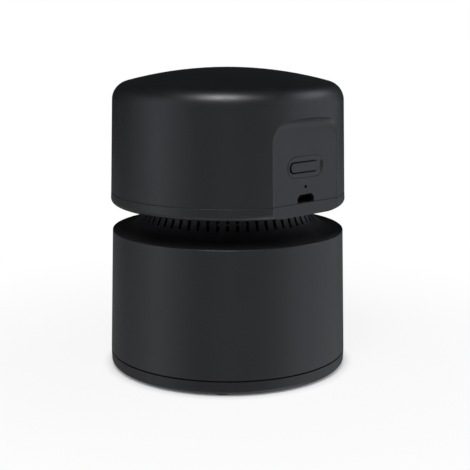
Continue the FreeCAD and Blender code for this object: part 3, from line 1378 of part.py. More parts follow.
beside_motor = dim.motor_radius + 3 * dim.lead_radius
cell_top = cell_low + dim.cell_length + 2 * dim.nickel_wall
low_run = head_floor + dim.collar_boss_height + 2 * dim.lead_radius
lead_start_x = 2 * dim.lead_radius - mouth_width / 2
lead_start_y = (dim.motor_radius + cell_y - dim.cell_radius) / 2
plus_x = dim.board_width * dim.lead_plus_share
minus_x = -dim.board_width * dim.lead_minus_share
hug_x = beside_motor * dim.lead_hug_share
battery_routes = [
    [
        (dim.tab_width, cell_y, cell_top + dim.lead_radius),
        (dim.tab_width * 2, cell_y - dim.cell_radius, cell_top + dim.lead_radius),
        (hug_x, ZERO, cell_top),
        (hug_x, -dim.motor_radius, over_cap - dim.motor_boss),
        (plus_x, board_back + lead_exit, board_high - dim.board_wall),
        (plus_x, board_back, board_high - dim.board_wall),
    ],
    [
        (lead_start_x, lead_start_y, cell_low + 2 * dim.lead_radius),
        (-beside_motor, dim.motor_radius / 2, low_run + dim.lead_radius),
        (-beside_motor, -dim.motor_radius * dim.lead_hug_share, low_run + dim.lead_radius),
        (minus_x, board_back + lead_exit, board_low + 2 * dim.board_wall),
        (minus_x, board_back, board_low + 2 * dim.board_wall),
    ],
]
keep(leads("battery_lead_group", battery_routes), "battery_leads")

# Filter: a ribbed cage with a sleeve that grips the spigot, round a pleated paper wall.

filter_top = plate_low - dim.seat_gap
filter_low = filter_top - dim.filter_height
sleeve_inner = spigot_outer + dim.thread_gap
sleeve_outer = sleeve_inner + dim.filter_sleeve
ring_low = filter_top - dim.filter_end
cage_top = turned("cage_top", [
    (sleeve_inner, filter_top - dim.filter_sleeve_height),
    (sleeve_outer, filter_top - dim.filter_sleeve_height),
    (sleeve_outer, ring_low),
    (dim.filter_radius, ring_low),
    (dim.filter_radius, filter_top),
    (sleeve_inner, filter_top),
])
cage_floor = turned("cage_floor", [
    (ZERO, filter_low),
    (dim.filter_radius - dim.filter_floor, filter_low, "left", dim.filter_floor),
    (dim.filter_radius, filter_low + dim.filter_floor),
    (ZERO, filter_low + dim.filter_floor),
])
rib_depth = dim.filter_radius - dim.pleat_outer - dim.seat_gap
rib_low = filter_low + dim.filter_floor / 2
ribs = []
rib_out = dim.filter_radius - dim.seat_gap
for number, degrees in enumerate(QUARTERS + DIAGONALS):
    rib = block("rib_%d" % number, (rib_depth, dim.filter_rib, ring_low - rib_low + dim.filter_end / 2),
                (ZERO, ZERO, ZERO))
    along_x, along_y = on_circle(rib_out - rib_depth, degrees)
    side_x, side_y = on_circle(dim.filter_rib / 2, degrees - 90)
    ribs.append(put(rib, (along_x + side_x, along_y + side_y, rib_low), (Z_AXIS, degrees)))
keep(fuse("cage_body", [cage_top, cage_floor] + ribs), "filter_frame")


def pleat_ring(inner, outer, count):
    """The zigzag line of the folds, as points."""
    spots = []
    for fold in range(2 * count):
        radius = outer if fold % 2 == 0 else inner
        angle = math.pi * fold / count
        spots.append(V(radius * math.cos(angle), radius * math.sin(angle), 0))
    return Part.makePolygon(spots + spots[:1])


pleat_low = filter_low + dim.filter_floor
folds = int(dim.pleat_count.value)
paper = dim.pleat_wall.value
outer_line = pleat_ring(dim.pleat_inner.value + paper, dim.pleat_outer.value, folds)
inner_line = pleat_ring(dim.pleat_inner.value, dim.pleat_outer.value - 2 * paper, folds)
pleats = doc.addObject("Part::Feature", "pleat_wall_body")
pleat_rise = V(0, 0, (ring_low - pleat_low).value)
pleats.Shape = Part.Face(outer_line).extrude(pleat_rise).cut(Part.Face(inner_line).extrude(pleat_rise))
pleats.Placement = FreeCAD.Placement(V(0, 0, pleat_low.value), FreeCAD.Rotation())
keep(pleats, "filter_pleats")

# Every object has to be sound before anything is written.

doc.recompute()
faults = [item.Name for item in doc.Objects if {"Invalid", "Error"} & set(item.State)]
for item in KEPT:
    if item.Shape.isNull() or not item.Shape.isValid():
        faults.append(item.Label)
if faults:
    raise RuntimeError("these objects failed: " + ", ".join(faults))
for item in KEPT:
    shape = item.Shape
    shape.exportStep(os.path.join("parts", item.Label + ".step"))
    counts = (len(shape.Solids), shape.Volume, len(shape.Faces))
    print("%-18s solids %2d  volume %9.1f  faces %4d" % ((item.Label,) + counts))
print("nodes", len(KEPT))
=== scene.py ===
# %% [markdown]
# # A desktop mini vacuum cleaner, dressed for its photograph
#
# The object is a small cordless cleaner in black plastic. A domed head floats on a slotted collar over a
# round dust cup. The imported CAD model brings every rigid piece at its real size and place. This script gives
# the pieces their finishes, adds the fine work that belongs to a render, and sets up the studio.

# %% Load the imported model
import json
import math
import random

import bpy
import bmesh
from mathutils import Matrix, Vector

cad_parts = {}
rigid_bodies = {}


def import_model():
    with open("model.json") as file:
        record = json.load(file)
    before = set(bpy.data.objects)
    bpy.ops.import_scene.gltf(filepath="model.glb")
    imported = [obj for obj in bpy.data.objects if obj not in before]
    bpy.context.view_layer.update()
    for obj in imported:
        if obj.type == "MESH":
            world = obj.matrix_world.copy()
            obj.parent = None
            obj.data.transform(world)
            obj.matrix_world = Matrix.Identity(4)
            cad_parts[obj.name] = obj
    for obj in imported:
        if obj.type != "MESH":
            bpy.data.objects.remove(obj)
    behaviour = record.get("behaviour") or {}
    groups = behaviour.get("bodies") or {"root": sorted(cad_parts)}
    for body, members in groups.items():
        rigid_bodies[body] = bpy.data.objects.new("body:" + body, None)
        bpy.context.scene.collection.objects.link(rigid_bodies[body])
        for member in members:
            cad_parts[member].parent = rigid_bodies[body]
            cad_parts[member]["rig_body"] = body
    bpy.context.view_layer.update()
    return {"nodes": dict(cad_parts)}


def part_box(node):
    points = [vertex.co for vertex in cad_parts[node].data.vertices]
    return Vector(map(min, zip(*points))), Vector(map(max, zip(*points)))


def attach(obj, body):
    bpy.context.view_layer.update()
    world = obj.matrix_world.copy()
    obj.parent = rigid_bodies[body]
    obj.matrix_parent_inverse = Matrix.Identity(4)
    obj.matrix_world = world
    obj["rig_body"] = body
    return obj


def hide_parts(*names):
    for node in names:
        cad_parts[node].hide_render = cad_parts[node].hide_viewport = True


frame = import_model()
nodes = frame["nodes"]
mm = 0.001

# %% [markdown]
# ## The camera
#
# The photograph looks slightly down from about 40 cm away. The distance could be guessed by eye, but the
# round rims give it exactly: each rim is a circle in the object and an ellipse in the picture, and one camera
# fits them all. The panel faces the viewer's right, so the camera stands to the left of the panel's own axis.

# %% Place the camera
panel_turn = math.radians(42.5)      # from the panel's axis to the camera, about Z
camera_reach = 0.401                 # from the object's axis
camera_height = 0.130
camera_pitch = math.radians(11.585)
camera_swing = math.radians(-0.384)
camera_roll = math.radians(0.132)
lens_mm = 84.0

camera_data = bpy.data.cameras.new("camera")
camera_data.lens = lens_mm
camera_data.sensor_width = 36.0
camera = bpy.data.objects.new("camera", camera_data)
bpy.context.scene.collection.objects.link(camera)
spot = Vector((-camera_reach * math.sin(panel_turn), -camera_reach * math.cos(panel_turn), camera_height))
aim = (Matrix.Rotation(camera_swing - panel_turn, 4, "Z")
       @ Matrix.Rotation(math.pi / 2 - camera_pitch, 4, "X")
       @ Matrix.Rotation(camera_roll, 4, "Z"))
camera.matrix_world = Matrix.Translation(spot) @ aim
bpy.context.scene.camera = camera
print("camera at", [round(c, 4) for c in spot])


# %% [markdown]
# ## Shared effects
#
# Moulded plastic is never a single flat colour. It has a fine grain from its mould, a sheen that changes a
# little where hands have been, edges that are paler from rubbing and that also carry a painted highlight,
# seams that no cloth reaches, and some dust on what faces up. Each effect is a shader node group
# with its own inputs, so that every material can use it with its own values. The groups put out masks,
# heights and a rounded normal; the shader stays in the material.

# %% Helpers for node groups
def new_group(name, inputs, outputs):
    """A shader node group; inputs and outputs are lists of (name, kind, value)."""
    tree = bpy.data.node_groups.new(name, "ShaderNodeTree")
    for label, kind, value in inputs:
        socket = tree.interface.new_socket(name=label, in_out="INPUT", socket_type="NodeSocket" + kind)
        if value is not None:
            socket.default_value = value
    for label, kind, _ in outputs:
        tree.interface.new_socket(name=label, in_out="OUTPUT", socket_type="NodeSocket" + kind)
    return tree, tree.nodes.new("NodeGroupInput"), tree.nodes.new("NodeGroupOutput")


def add_node(tree, kind, links=None, **values):
    """A node with some properties set. Links go from a socket to one of its inputs, by name or number."""
    node = tree.nodes.new("ShaderNode" + kind)
    for key, value in values.items():
        setattr(node, key, value)
    for key, source in (links or {}).items():
        if hasattr(source, "links"):
            tree.links.new(source, node.inputs[key])
        else:
            node.inputs[key].default_value = source
    return node


def maths(tree, operation, first, second=0.0):
    return add_node(tree, "Math", {0: first, 1: second}, operation=operation).outputs[0]


def ranged(tree, value, low=0.0, high=1.0, to_low=0.0, to_high=1.0, **how):
    """The value, with the stretch from low to high laid over the one from to_low to to_high."""
    return add_node(tree, "MapRange", {"Value": value, "From Min": low, "From Max": high,
                                       "To Min": to_low, "To Max": to_high}, **how).outputs["Result"]


# %% The mould's grain
def build_grain():
    """Fine pits and swells, as a mould leaves them: a height and a mask of the pits."""
    tree, enter, leave = new_group("mould_grain", [("Scale", "Float", 2600.0), ("Swell", "Float", 0.35)],
                                   [("Height", "Float", None), ("Pits", "Float", None)])
    place = add_node(tree, "TexCoord").outputs["Object"]
    fine = add_node(tree, "TexNoise", {"Vector": place, "Scale": enter.outputs["Scale"], "Detail": 3.0,
                                       "Roughness": 0.6})
    coarse_scale = maths(tree, "MULTIPLY", enter.outputs["Scale"], 0.06)
    coarse = add_node(tree, "TexNoise", {"Vector": place, "Scale": coarse_scale, "Detail": 2.0})
    swell = maths(tree, "MULTIPLY", coarse.outputs["Fac"], enter.outputs["Swell"])
    tree.links.new(maths(tree, "ADD", fine.outputs["Fac"], swell), leave.inputs["Height"])
    tree.links.new(ranged(tree, fine.outputs["Fac"], 0.35, 0.65), leave.inputs["Pits"])
    return tree


mould_grain = build_grain()
print("group:", mould_grain.name)


# %% Where hands have been
def build_handling():
    """Large soft patches from 0 to 1, where the sheen differs from touch."""
    tree, enter, leave = new_group("handling", [("Scale", "Float", 32.0), ("Streak", "Float", 0.35)],
                                   [("Patches", "Float", None)])
    place = add_node(tree, "TexCoord").outputs["Object"]
    large = add_node(tree, "TexNoise", {"Vector": place, "Scale": enter.outputs["Scale"], "Detail": 4.0,
                                        "Roughness": 0.55})
    squeeze = add_node(tree, "Mapping", {"Vector": place, "Scale": (1.0, 1.0, 0.18)})
    streak_scale = maths(tree, "MULTIPLY", enter.outputs["Scale"], 9.0)
    streaks = add_node(tree, "TexNoise", {"Vector": squeeze.outputs["Vector"], "Scale": streak_scale,
                                          "Detail": 3.0})
    both = add_node(tree, "Mix", {0: enter.outputs["Streak"], 2: large.outputs["Fac"],
                                  3: streaks.outputs["Fac"]}, data_type="FLOAT")
    tree.links.new(ranged(tree, both.outputs[0], 0.32, 0.68), leave.inputs["Patches"])
    return tree


handling = build_handling()
print("group:", handling.name)


# %% Sharp edges
def build_sharp_edge():
    """A mask that is 1 on sharp edges, where a rounded normal leaves the true one, and that normal."""
    tree, enter, leave = new_group("rubbed_edge", [("Width", "Float", 0.0004), ("Break", "Float", 0.5)],
                                   [("Mask", "Float", None), ("Normal", "Vector", None)])
    soft = add_node(tree, "Bevel", {"Radius": enter.outputs["Width"]}, samples=8)
    tree.links.new(soft.outputs["Normal"], leave.inputs["Normal"])
    true = add_node(tree, "NewGeometry").outputs["Normal"]
    same = add_node(tree, "VectorMath", {0: soft.outputs["Normal"], 1: true}, operation="DOT_PRODUCT")
    edge = ranged(tree, same.outputs["Value"], 0.99, 0.80)
    place = add_node(tree, "TexCoord").outputs["Object"]
    noise = add_node(tree, "TexNoise", {"Vector": place, "Scale": 420.0, "Detail": 3.0})
    ragged = ranged(tree, noise.outputs["Fac"], 0.35, 0.65)
    broken = add_node(tree, "Mix", {0: enter.outputs["Break"], 2: 1.0, 3: ragged}, data_type="FLOAT")
    tree.links.new(maths(tree, "MULTIPLY", edge, broken.outputs[0]), leave.inputs["Mask"])
    return tree


rubbed_edge = build_sharp_edge()
print("group:", rubbed_edge.name)


# %% Dull seams
def build_dull_seam():
    """A mask that is 1 deep in seams and inner corners, where no cloth has ever polished the plastic."""
    tree, enter, leave = new_group("dull_seam", [("Reach", "Float", 0.0008)], [("Mask", "Float", None)])
    shade = add_node(tree, "AmbientOcclusion", {"Distance": enter.outputs["Reach"]}, samples=8)
    tree.links.new(ranged(tree, shade.outputs["AO"], 0.95, 0.45), leave.inputs["Mask"])
    return tree


dull_seam = build_dull_seam()
print("group:", dull_seam.name)


# %% Settled dust
def build_dust():
    """A mask of specks on whatever faces up."""
    tree, enter, leave = new_group("settled_dust", [("Amount", "Float", 0.3), ("Scale", "Float", 900.0)],
                                   [("Mask", "Float", None)])
    normal = add_node(tree, "NewGeometry").outputs["Normal"]
    up = add_node(tree, "SeparateXYZ", {0: normal}).outputs["Z"]
    facing = ranged(tree, up, 0.25, 0.95)
    place = add_node(tree, "TexCoord").outputs["Object"]
    specks = add_node(tree, "TexVoronoi", {"Vector": place, "Scale": enter.outputs["Scale"],
                                           "Randomness": 1.0})
    dots = ranged(tree, specks.outputs["Distance"], 0.17, 0.05)
    cloud = add_node(tree, "TexNoise", {"Vector": place, "Scale": 70.0, "Detail": 4.0})
    drift = ranged(tree, cloud.outputs["Fac"], 0.45, 0.75)
    lying = maths(tree, "MULTIPLY", dots, drift)
    seen = maths(tree, "MULTIPLY", lying, facing)
    tree.links.new(maths(tree, "MULTIPLY", seen, enter.outputs["Amount"]), leave.inputs["Mask"])
    return tree


settled_dust = build_dust()
print("group:", settled_dust.name)

# %% [markdown]
# ## Plastics
#
# The shell is satin black ABS, the base a shade darker, and the collar is smoother, with less grain. One
# function makes them all, because they differ only in colour, sheen, grain and how pale their edges are,
# from wear and from a painted highlight. A texture photograph would fix the grain's scale to one picture;
# noise in the object's own coordinates keeps its true size on every piece.


# %% One function for moulded plastic
def use(tree, group, **values):
    node = tree.nodes.new("ShaderNodeGroup")
    node.node_tree = group
    for key, value in values.items():
        node.inputs[key].default_value = value
    return node


def blank_material(name):
    material = bpy.data.materials.new(name)
    material.use_nodes = True
    shader = material.node_tree.nodes["Principled BSDF"]
    return material, material.node_tree, shader


def mix_colour(tree, factor, first, second):
    return add_node(tree, "Mix", {0: factor, 6: first, 7: second}, data_type="RGBA").outputs[2]


def opaque(colour):
    return (colour[0], colour[1], colour[2], 1.0)


def feed_shader(tree, shader, colour, rough, height, strength, distance, **more):
    """Gives the shader its colour, its roughness and the bump that a height makes."""
    bump = add_node(tree, "Bump", {"Height": height, "Strength": strength, "Distance": distance, **more})
    tree.links.new(colour, shader.inputs["Base Color"])
    tree.links.new(rough, shader.inputs["Roughness"])
    tree.links.new(bump.outputs["Normal"], shader.inputs["Normal"])


dust_grey = (0.30, 0.29, 0.27, 1.0)
pit_shade = 0.82                       # a pit of the grain beside the wall around it
touched_gain, touched_share = 1.18, 0.25
worn_highlit_gain, worn_highlit_grey = 1.9, 0.012  # an edge is brighter and a little grey, from wear and a painted highlight
dust_dulls, seam_dulls = 0.3, 0.5      # what dust and a seam add to the roughness
grain_depth = 0.05 * mm
coat_roughness = 0.05


def moulded(name, colour, sheen_low, sheen_high, grain=2600.0, relief=0.02, shine=0.5, edge_wear_highlight=0.4, dust=0.15,
            edge_width=0.22 * mm, coat=0.0):
    """Moulded plastic. Its roughness runs from sheen_low to sheen_high, and the wear argument is how pale its
    edges are: rubbed, and with a painted highlight.
    """
    material, tree, shader = blank_material(name)
    texture = use(tree, mould_grain, Scale=grain)
    touched = use(tree, handling)
    edges = use(tree, rubbed_edge, Width=edge_width)
    specks = use(tree, settled_dust, Amount=dust)
    darker = opaque([c * pit_shade for c in colour])
    paler = opaque([c * worn_highlit_gain + worn_highlit_grey for c in colour])
    ground = mix_colour(tree, texture.outputs["Pits"], darker, opaque(colour))
    patchy = mix_colour(tree, maths(tree, "MULTIPLY", touched.outputs["Patches"], touched_share), ground,
                        opaque([c * touched_gain for c in colour]))
    # Sharp edges go paler: partly wear from rubbing, partly a painted highlight along rims and seams.
    worn_and_highlit = mix_colour(tree, maths(tree, "MULTIPLY", edges.outputs["Mask"], edge_wear_highlight), patchy, paler)
    dusty = mix_colour(tree, specks.outputs["Mask"], worn_and_highlit, dust_grey)
    sheen = ranged(tree, touched.outputs["Patches"], to_low=sheen_low, to_high=sheen_high)
    duller = maths(tree, "ADD", sheen, maths(tree, "MULTIPLY", specks.outputs["Mask"], dust_dulls))
    in_seam = maths(tree, "MULTIPLY", use(tree, dull_seam).outputs["Mask"], seam_dulls)
    feed_shader(tree, shader, dusty, maths(tree, "ADD", duller, in_seam), texture.outputs["Height"], relief,
                grain_depth, Normal=edges.outputs["Normal"])
    shader.inputs["Specular IOR Level"].default_value = shine
    shader.inputs["Coat Weight"].default_value = coat
    shader.inputs["Coat Roughness"].default_value = coat_roughness
    return material


# How pale each plastic's edges turn is wear and also a painted highlight.
shell_black = moulded("shell_black", (0.0058, 0.0064, 0.0074), 0.34, 0.42, relief=0.35, edge_wear_highlight=0.3,
                      edge_width=0.12 * mm)
base_black = moulded("base_black", (0.0054, 0.0056, 0.0058), 0.38, 0.46, relief=0.35, shine=0.45, edge_wear_highlight=0.1,
                     edge_width=0.06 * mm)
button_black = moulded("button_black", (0.0066, 0.0072, 0.0084), 0.34, 0.41, relief=0.30, edge_wear_highlight=0.15,
                       edge_width=0.08 * mm)
collar_gloss = moulded("collar_gloss", (0.0050, 0.0052, 0.0060), 0.34, 0.42, relief=0.15, edge_wear_highlight=0.2,
                       dust=0.05)
inner_plastic = moulded("inner_plastic", (0.030, 0.030, 0.032), 0.42, 0.55, relief=0.35, edge_wear_highlight=0.3)
impeller_plastic = moulded("impeller_plastic", (0.022, 0.022, 0.023), 0.42, 0.55, relief=0.2, edge_wear_highlight=0.1,
                           dust=0.2)
chip_black = moulded("chip_black", (0.014, 0.014, 0.015), 0.42, 0.55, grain=5200.0, relief=0.5, edge_wear_highlight=0.3)
print("plastics made")

# %% [markdown]
# ## Rubber, nylon and paper
#
# The glide pads and the seal ring are soft rubber, which is dull and takes dust. The bristles are nylon, with
# a slight sheen along their length. The filter is pleated paper with long pale fibres.


# %% Rubber
def rubber(name, colour, shine=0.4):
    """Rubber: dark in its pits, and paler where a bloom has risen to its surface."""
    pit, bloomed, bloom_share = 0.7, 1.7, 0.35
    material, tree, shader = blank_material(name)
    texture = use(tree, mould_grain, Scale=1500.0, Swell=0.6)
    specks = use(tree, settled_dust, Amount=0.4, Scale=700.0)
    bloom = use(tree, handling, Scale=60.0)
    ground = mix_colour(tree, texture.outputs["Pits"], opaque([c * pit for c in colour]), opaque(colour))
    faded = mix_colour(tree, maths(tree, "MULTIPLY", bloom.outputs["Patches"], bloom_share), ground,
                       opaque([c * bloomed for c in colour]))
    dusty = mix_colour(tree, specks.outputs["Mask"], faded, dust_grey)
    dull = ranged(tree, bloom.outputs["Patches"], to_low=0.72, to_high=0.9)
    feed_shader(tree, shader, dusty, dull, texture.outputs["Height"], 0.5, 0.06 * mm)
    shader.inputs["Specular IOR Level"].default_value = shine
    return material


soft_rubber = rubber("soft_rubber", (0.022, 0.022, 0.023))
# Near black and almost without sheen: the rubber of the seam bead, which paints the seam's shade.
seam_shade_black = rubber("seam_shade_black", (0.0022, 0.0022, 0.0023), shine=0.05)
lead_red = rubber("lead_red", (0.42, 0.03, 0.025))
lead_black = rubber("lead_black", (0.02, 0.02, 0.021))
print("rubbers made")


# %% Nylon bristles
def bristle_nylon_material():
    """Nylon: each bristle a little different in colour, by a noise that changes from one to the next."""
    material, tree, shader = blank_material("bristle_nylon")
    place = add_node(tree, "TexCoord").outputs["Object"]
    flat = add_node(tree, "Mapping", {"Vector": place, "Scale": (1.0, 1.0, 0.05)})
    each = add_node(tree, "TexNoise", {"Vector": flat.outputs["Vector"], "Scale": 3800.0, "Detail": 1.0})
    spread = ranged(tree, each.outputs["Fac"], 0.35, 0.65)
    grey = mix_colour(tree, spread, (0.030, 0.030, 0.032, 1), (0.11, 0.11, 0.115, 1))
    rough = ranged(tree, spread, to_low=0.32, to_high=0.5)
    fine = add_node(tree, "TexNoise", {"Vector": place, "Scale": 9000.0})
    feed_shader(tree, shader, grey, rough, fine.outputs["Fac"], 0.15, 0.01 * mm)
    return material


bristle_nylon = bristle_nylon_material()
print("material:", bristle_nylon.name)


# %% Filter paper
def filter_paper_material():
    """Paper: matted fibres from two stretched noises, and grey dust held in the folds' outer edges."""
    material, tree, shader = blank_material("filter_paper")
    place = add_node(tree, "TexCoord").outputs["Object"]
    fibres = []
    for stretch in ((1.0, 1.0, 0.16), (0.3, 1.0, 1.0)):
        lay = add_node(tree, "Mapping", {"Vector": place, "Scale": stretch})
        fibres.append(add_node(tree, "TexNoise", {"Vector": lay.outputs["Vector"], "Scale": 2400.0,
                                                  "Detail": 4.0, "Roughness": 0.7}).outputs["Fac"])
    matted = maths(tree, "MULTIPLY", maths(tree, "ADD", fibres[0], fibres[1]), 0.5)
    spread = ranged(tree, matted, 0.36, 0.62)
    paper = mix_colour(tree, spread, (0.50, 0.48, 0.42, 1), (0.74, 0.72, 0.66, 1))
    edges = use(tree, rubbed_edge, Width=0.6 * mm)
    grey = mix_colour(tree, maths(tree, "MULTIPLY", edges.outputs["Mask"], 0.5), paper, dust_grey)
    rough = ranged(tree, matted, to_low=0.82, to_high=0.95)
    feed_shader(tree, shader, grey, rough, matted, 0.6, 0.08 * mm)
    return material


filter_paper = filter_paper_material()
print("material:", filter_paper.name)

# %% [markdown]
# ## Metals
#
# Screws are zinc plated, the motor can is drawn steel, the shaft is ground, and the coils are enamelled
# copper. They share one function: a metal's colour is its reflection, so colour, brushing and roughness are
# what tells them apart.


# %% One function for metal
def metal(name, colour, rough_low, rough_high, brushed=(1.0, 1.0, 1.0), relief=0.15):
    """Metal: brushed is the stretch of its scratches along X, Y and Z, relief their depth."""
    scratch_scale, tarnish, tarnish_shade = 1800.0, 0.4, 0.55
    edge_gain, edge_share, brightest = 1.25, 0.6, 0.95
    material, tree, shader = blank_material(name)
    place = add_node(tree, "TexCoord").outputs["Object"]
    lay = add_node(tree, "Mapping", {"Vector": place, "Scale": brushed})
    scratches = add_node(tree, "TexNoise", {"Vector": lay.outputs["Vector"], "Scale": scratch_scale,
                                            "Detail": 5.0, "Roughness": 0.65}).outputs["Fac"]
    patches = use(tree, handling, Scale=140.0, Streak=0.1).outputs["Patches"]
    dark = opaque([c * tarnish_shade for c in colour])
    toned = mix_colour(tree, maths(tree, "MULTIPLY", patches, tarnish), opaque(colour), dark)
    edges = use(tree, rubbed_edge, Width=0.15 * mm)
    bright = mix_colour(tree, maths(tree, "MULTIPLY", edges.outputs["Mask"], edge_share), toned,
                        opaque([min(c * edge_gain, brightest) for c in colour]))
    rough = ranged(tree, scratches, 0.3, 0.7, rough_low, rough_high)
    feed_shader(tree, shader, bright, rough, scratches, relief, 0.02 * mm)
    shader.inputs["Metallic"].default_value = 1.0
    return material


screw_steel = metal("screw_steel", (0.50, 0.50, 0.52), 0.26, 0.40)
can_steel = metal("can_steel", (0.56, 0.56, 0.57), 0.24, 0.38, brushed=(1.0, 1.0, 12.0))
magnet_iron = metal("magnet_iron", (0.16, 0.16, 0.17), 0.5, 0.7, relief=0.4)
copper_wire = metal("copper_wire", (0.78, 0.36, 0.18), 0.25, 0.4, brushed=(1.0, 1.0, 8.0), relief=0.4)
bush_bronze = metal("bush_bronze", (0.66, 0.44, 0.22), 0.35, 0.5)
nickel_plate = metal("nickel_plate", (0.62, 0.60, 0.56), 0.18, 0.3)
# Near black, so that the socket and its tongue also paint the shade inside the port.
port_black = metal("port_black", (0.004, 0.004, 0.0045), 0.55, 0.70)
contact_gold = metal("contact_gold", (0.80, 0.58, 0.24), 0.2, 0.3)
print("metals made")

# %% [markdown]
# ## The parts inside
#
# The closed head hides a circuit board, a battery cell and a lamp. They can be seen only when the housing is
# made see-through, but each still gets its own finish: a solder mask with traces, a shrink sleeve, and a
# smoked clear light pipe.


# %% Solder mask
def board_green_material():
    """Solder mask over copper: the traces stand a little above the ground and are a lighter green."""
    material, tree, shader = blank_material("board_green")
    place = add_node(tree, "TexCoord").outputs["Object"]
    runs = add_node(tree, "TexVoronoi", {"Vector": place, "Scale": 700.0}, feature="F1",
                    distance="MANHATTAN")
    traces = ranged(tree, runs.outputs["Distance"], 0.42, 0.5)
    green = mix_colour(tree, traces, (0.010, 0.085, 0.030, 1), (0.020, 0.16, 0.055, 1))
    edges = use(tree, rubbed_edge, Width=0.2 * mm)
    glass_edge = (0.30, 0.26, 0.12, 1)
    board = mix_colour(tree, maths(tree, "MULTIPLY", edges.outputs["Mask"], 0.5), green, glass_edge)
    rough = ranged(tree, use(tree, handling, Scale=90.0).outputs["Patches"], to_low=0.22, to_high=0.34)
    feed_shader(tree, shader, board, rough, traces, 0.4, 0.04 * mm)
    return material


board_green = board_green_material()
cell_wrap = moulded("cell_wrap", (0.03, 0.16, 0.42), 0.22, 0.32, grain=900.0, relief=0.25, edge_wear_highlight=0.3,
                    dust=0.1)
lamp_clear = moulded("lamp_clear", (0.05, 0.055, 0.06), 0.10, 0.16, relief=0.05, edge_wear_highlight=0.2, dust=0.0,
                     coat=0.5)
print("inner finishes made")

# %% [markdown]
# ## Dress the imported nodes
#
# Each CAD node takes the finish of its own piece through its material slot. Its mesh stays as it was packed,
# so the render shows the same solid.

# %% Finishes by node
FINISHES = [
    (shell_black, ["head_cover", "head_base", "dust_cup"]),
    (base_black, ["base_cover"]),
    (button_black, ["power_button"]),
    (collar_gloss, ["vent_collar"]),
    (inner_plastic, ["fan_shroud", "battery_cradle", "filter_frame", "motor_end_cap",
                     "brush_bars"]),
    (impeller_plastic, ["impeller"]),
    (soft_rubber, ["seal_ring", "glide_pads"]),
    (bristle_nylon, ["brush_tufts"]),
    (screw_steel, ["base_screws", "shroud_screws", "cover_screws", "collar_screws",
                   "motor_screws", "board_screws", "cradle_screws"]),
    (can_steel, ["motor_can", "motor_shaft"]),
    (magnet_iron, ["motor_magnets", "armature_core"]),
    (copper_wire, ["armature_coils", "commutator", "motor_terminals"]),
    (bush_bronze, ["motor_bushes"]),
    (board_green, ["control_board"]),
    (chip_black, ["board_chips", "tact_switch", "switch_plunger"]),
    # The socket and its tongue take the near-black finish that paints the port's shade.
    (port_black, ["usb_socket", "usb_tongue"]),
    (nickel_plate, ["battery_tabs"]),
    (lamp_clear, ["status_led", "status_light_pipe"]),
    (cell_wrap, ["battery_cell"]),
    (lead_red, ["motor_leads"]),
    (lead_black, ["battery_leads"]),
    (filter_paper, ["filter_pleats"]),
]
for finish, members in FINISHES:
    for member in members:
        mesh = nodes[member].data
        mesh.materials.clear()
        mesh.materials.append(finish)
dressed = sum(len(members) for _, members in FINISHES)
print("dressed", dressed, "of", len(nodes), "nodes")

# %% [markdown]
# ## Where the fine pieces go
#
# Screws, bristles and glide pads are plain solids in the CAD model, because threads, recesses and single
# hairs are too fine for collision. Their detailed stand-ins must sit exactly where the plain ones are. Typing
# the places again would drift from the model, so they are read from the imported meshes, one solid at a time.


# %% Read the separate solids of a node
def solids_of(node):
    """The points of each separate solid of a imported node."""
    work = bmesh.new()
    work.from_mesh(nodes[node].data)
    bmesh.ops.remove_doubles(work, verts=work.verts, dist=0.001 * mm)
    work.verts.index_update()
    seen = set()
    solids = []
    for start in work.verts:
        if start.index in seen:
            continue
        seen.add(start.index)
        reached = [start]
        for vertex in reached:
            for edge in vertex.link_edges:
                other = edge.other_vert(vertex)
                if other.index not in seen:
                    seen.add(other.index)
                    reached.append(other)
        solids.append([vertex.co.copy() for vertex in reached])
    work.free()
    return solids


def upright(points):
    """Axis, levels and radii of a round solid that stands on Z, and the top of its widest stretch."""
    xs, ys, zs = ([point[k] for point in points] for k in range(3))
    x, y = (min(xs) + max(xs)) / 2, (min(ys) + max(ys)) / 2
    low, high = min(zs), max(zs)
    reach = [(math.hypot(point.x - x, point.y - y), point.z) for point in points]
    widest = max(radius for radius, _ in reach)
    near = 0.05 * mm
    return {"x": x, "y": y, "low": low, "high": high, "widest": widest,
            "wide_top": max(z for radius, z in reach if radius > widest - near),
            "low_radius": max(radius for radius, z in reach if z < low + near),
            "high_radius": max(radius for radius, z in reach if z > high - near)}


for node in ("base_screws", "cover_screws", "shroud_screws", "brush_tufts", "glide_pads"):
    solids = solids_of(node)
    print(node, len(solids), {key: round(value / mm, 2) for key, value in upright(solids[0]).items()})


# %% Helpers for turned meshes
def to_object(name, work, finish):
    """An object from a mesh under work, which is freed."""
    mesh = bpy.data.meshes.new(name)
    work.to_mesh(mesh)
    work.free()
    mesh.materials.append(finish)
    item = bpy.data.objects.new(name, mesh)
    bpy.context.scene.collection.objects.link(item)
    return item


def turn(profile, steps=48):
    """Spins a half section of (radius, height) points round Z."""
    work = bmesh.new()
    rings = []
    for radius, height in profile:
        if radius == 0:
            rings.append([work.verts.new((0, 0, height))])
            continue
        angles = [2 * math.pi * k / steps for k in range(steps)]
        rings.append([work.verts.new((radius * math.cos(a), radius * math.sin(a), height)) for a in angles])
    for lower, upper in zip(rings, rings[1:]):
        for k in range(steps):
            after = (k + 1) % steps
            corners = [lower[k % len(lower)], lower[after % len(lower)],
                       upper[after % len(upper)], upper[k % len(upper)]]
            corners = list(dict.fromkeys(corners))
            if len(corners) > 2:
                work.faces.new(corners)
    bmesh.ops.recalc_face_normals(work, faces=work.faces)
    return work


def smooth_by_angle(item, degrees):
    """Smooth shading that keeps edges sharper than the angle."""
    work = bmesh.new()
    work.from_mesh(item.data)
    for face in work.faces:
        face.smooth = True
    for edge in work.edges:
        edge.smooth = len(edge.link_faces) == 2 and edge.calc_face_angle() < math.radians(degrees)
    work.to_mesh(item.data)
    work.free()
    return item


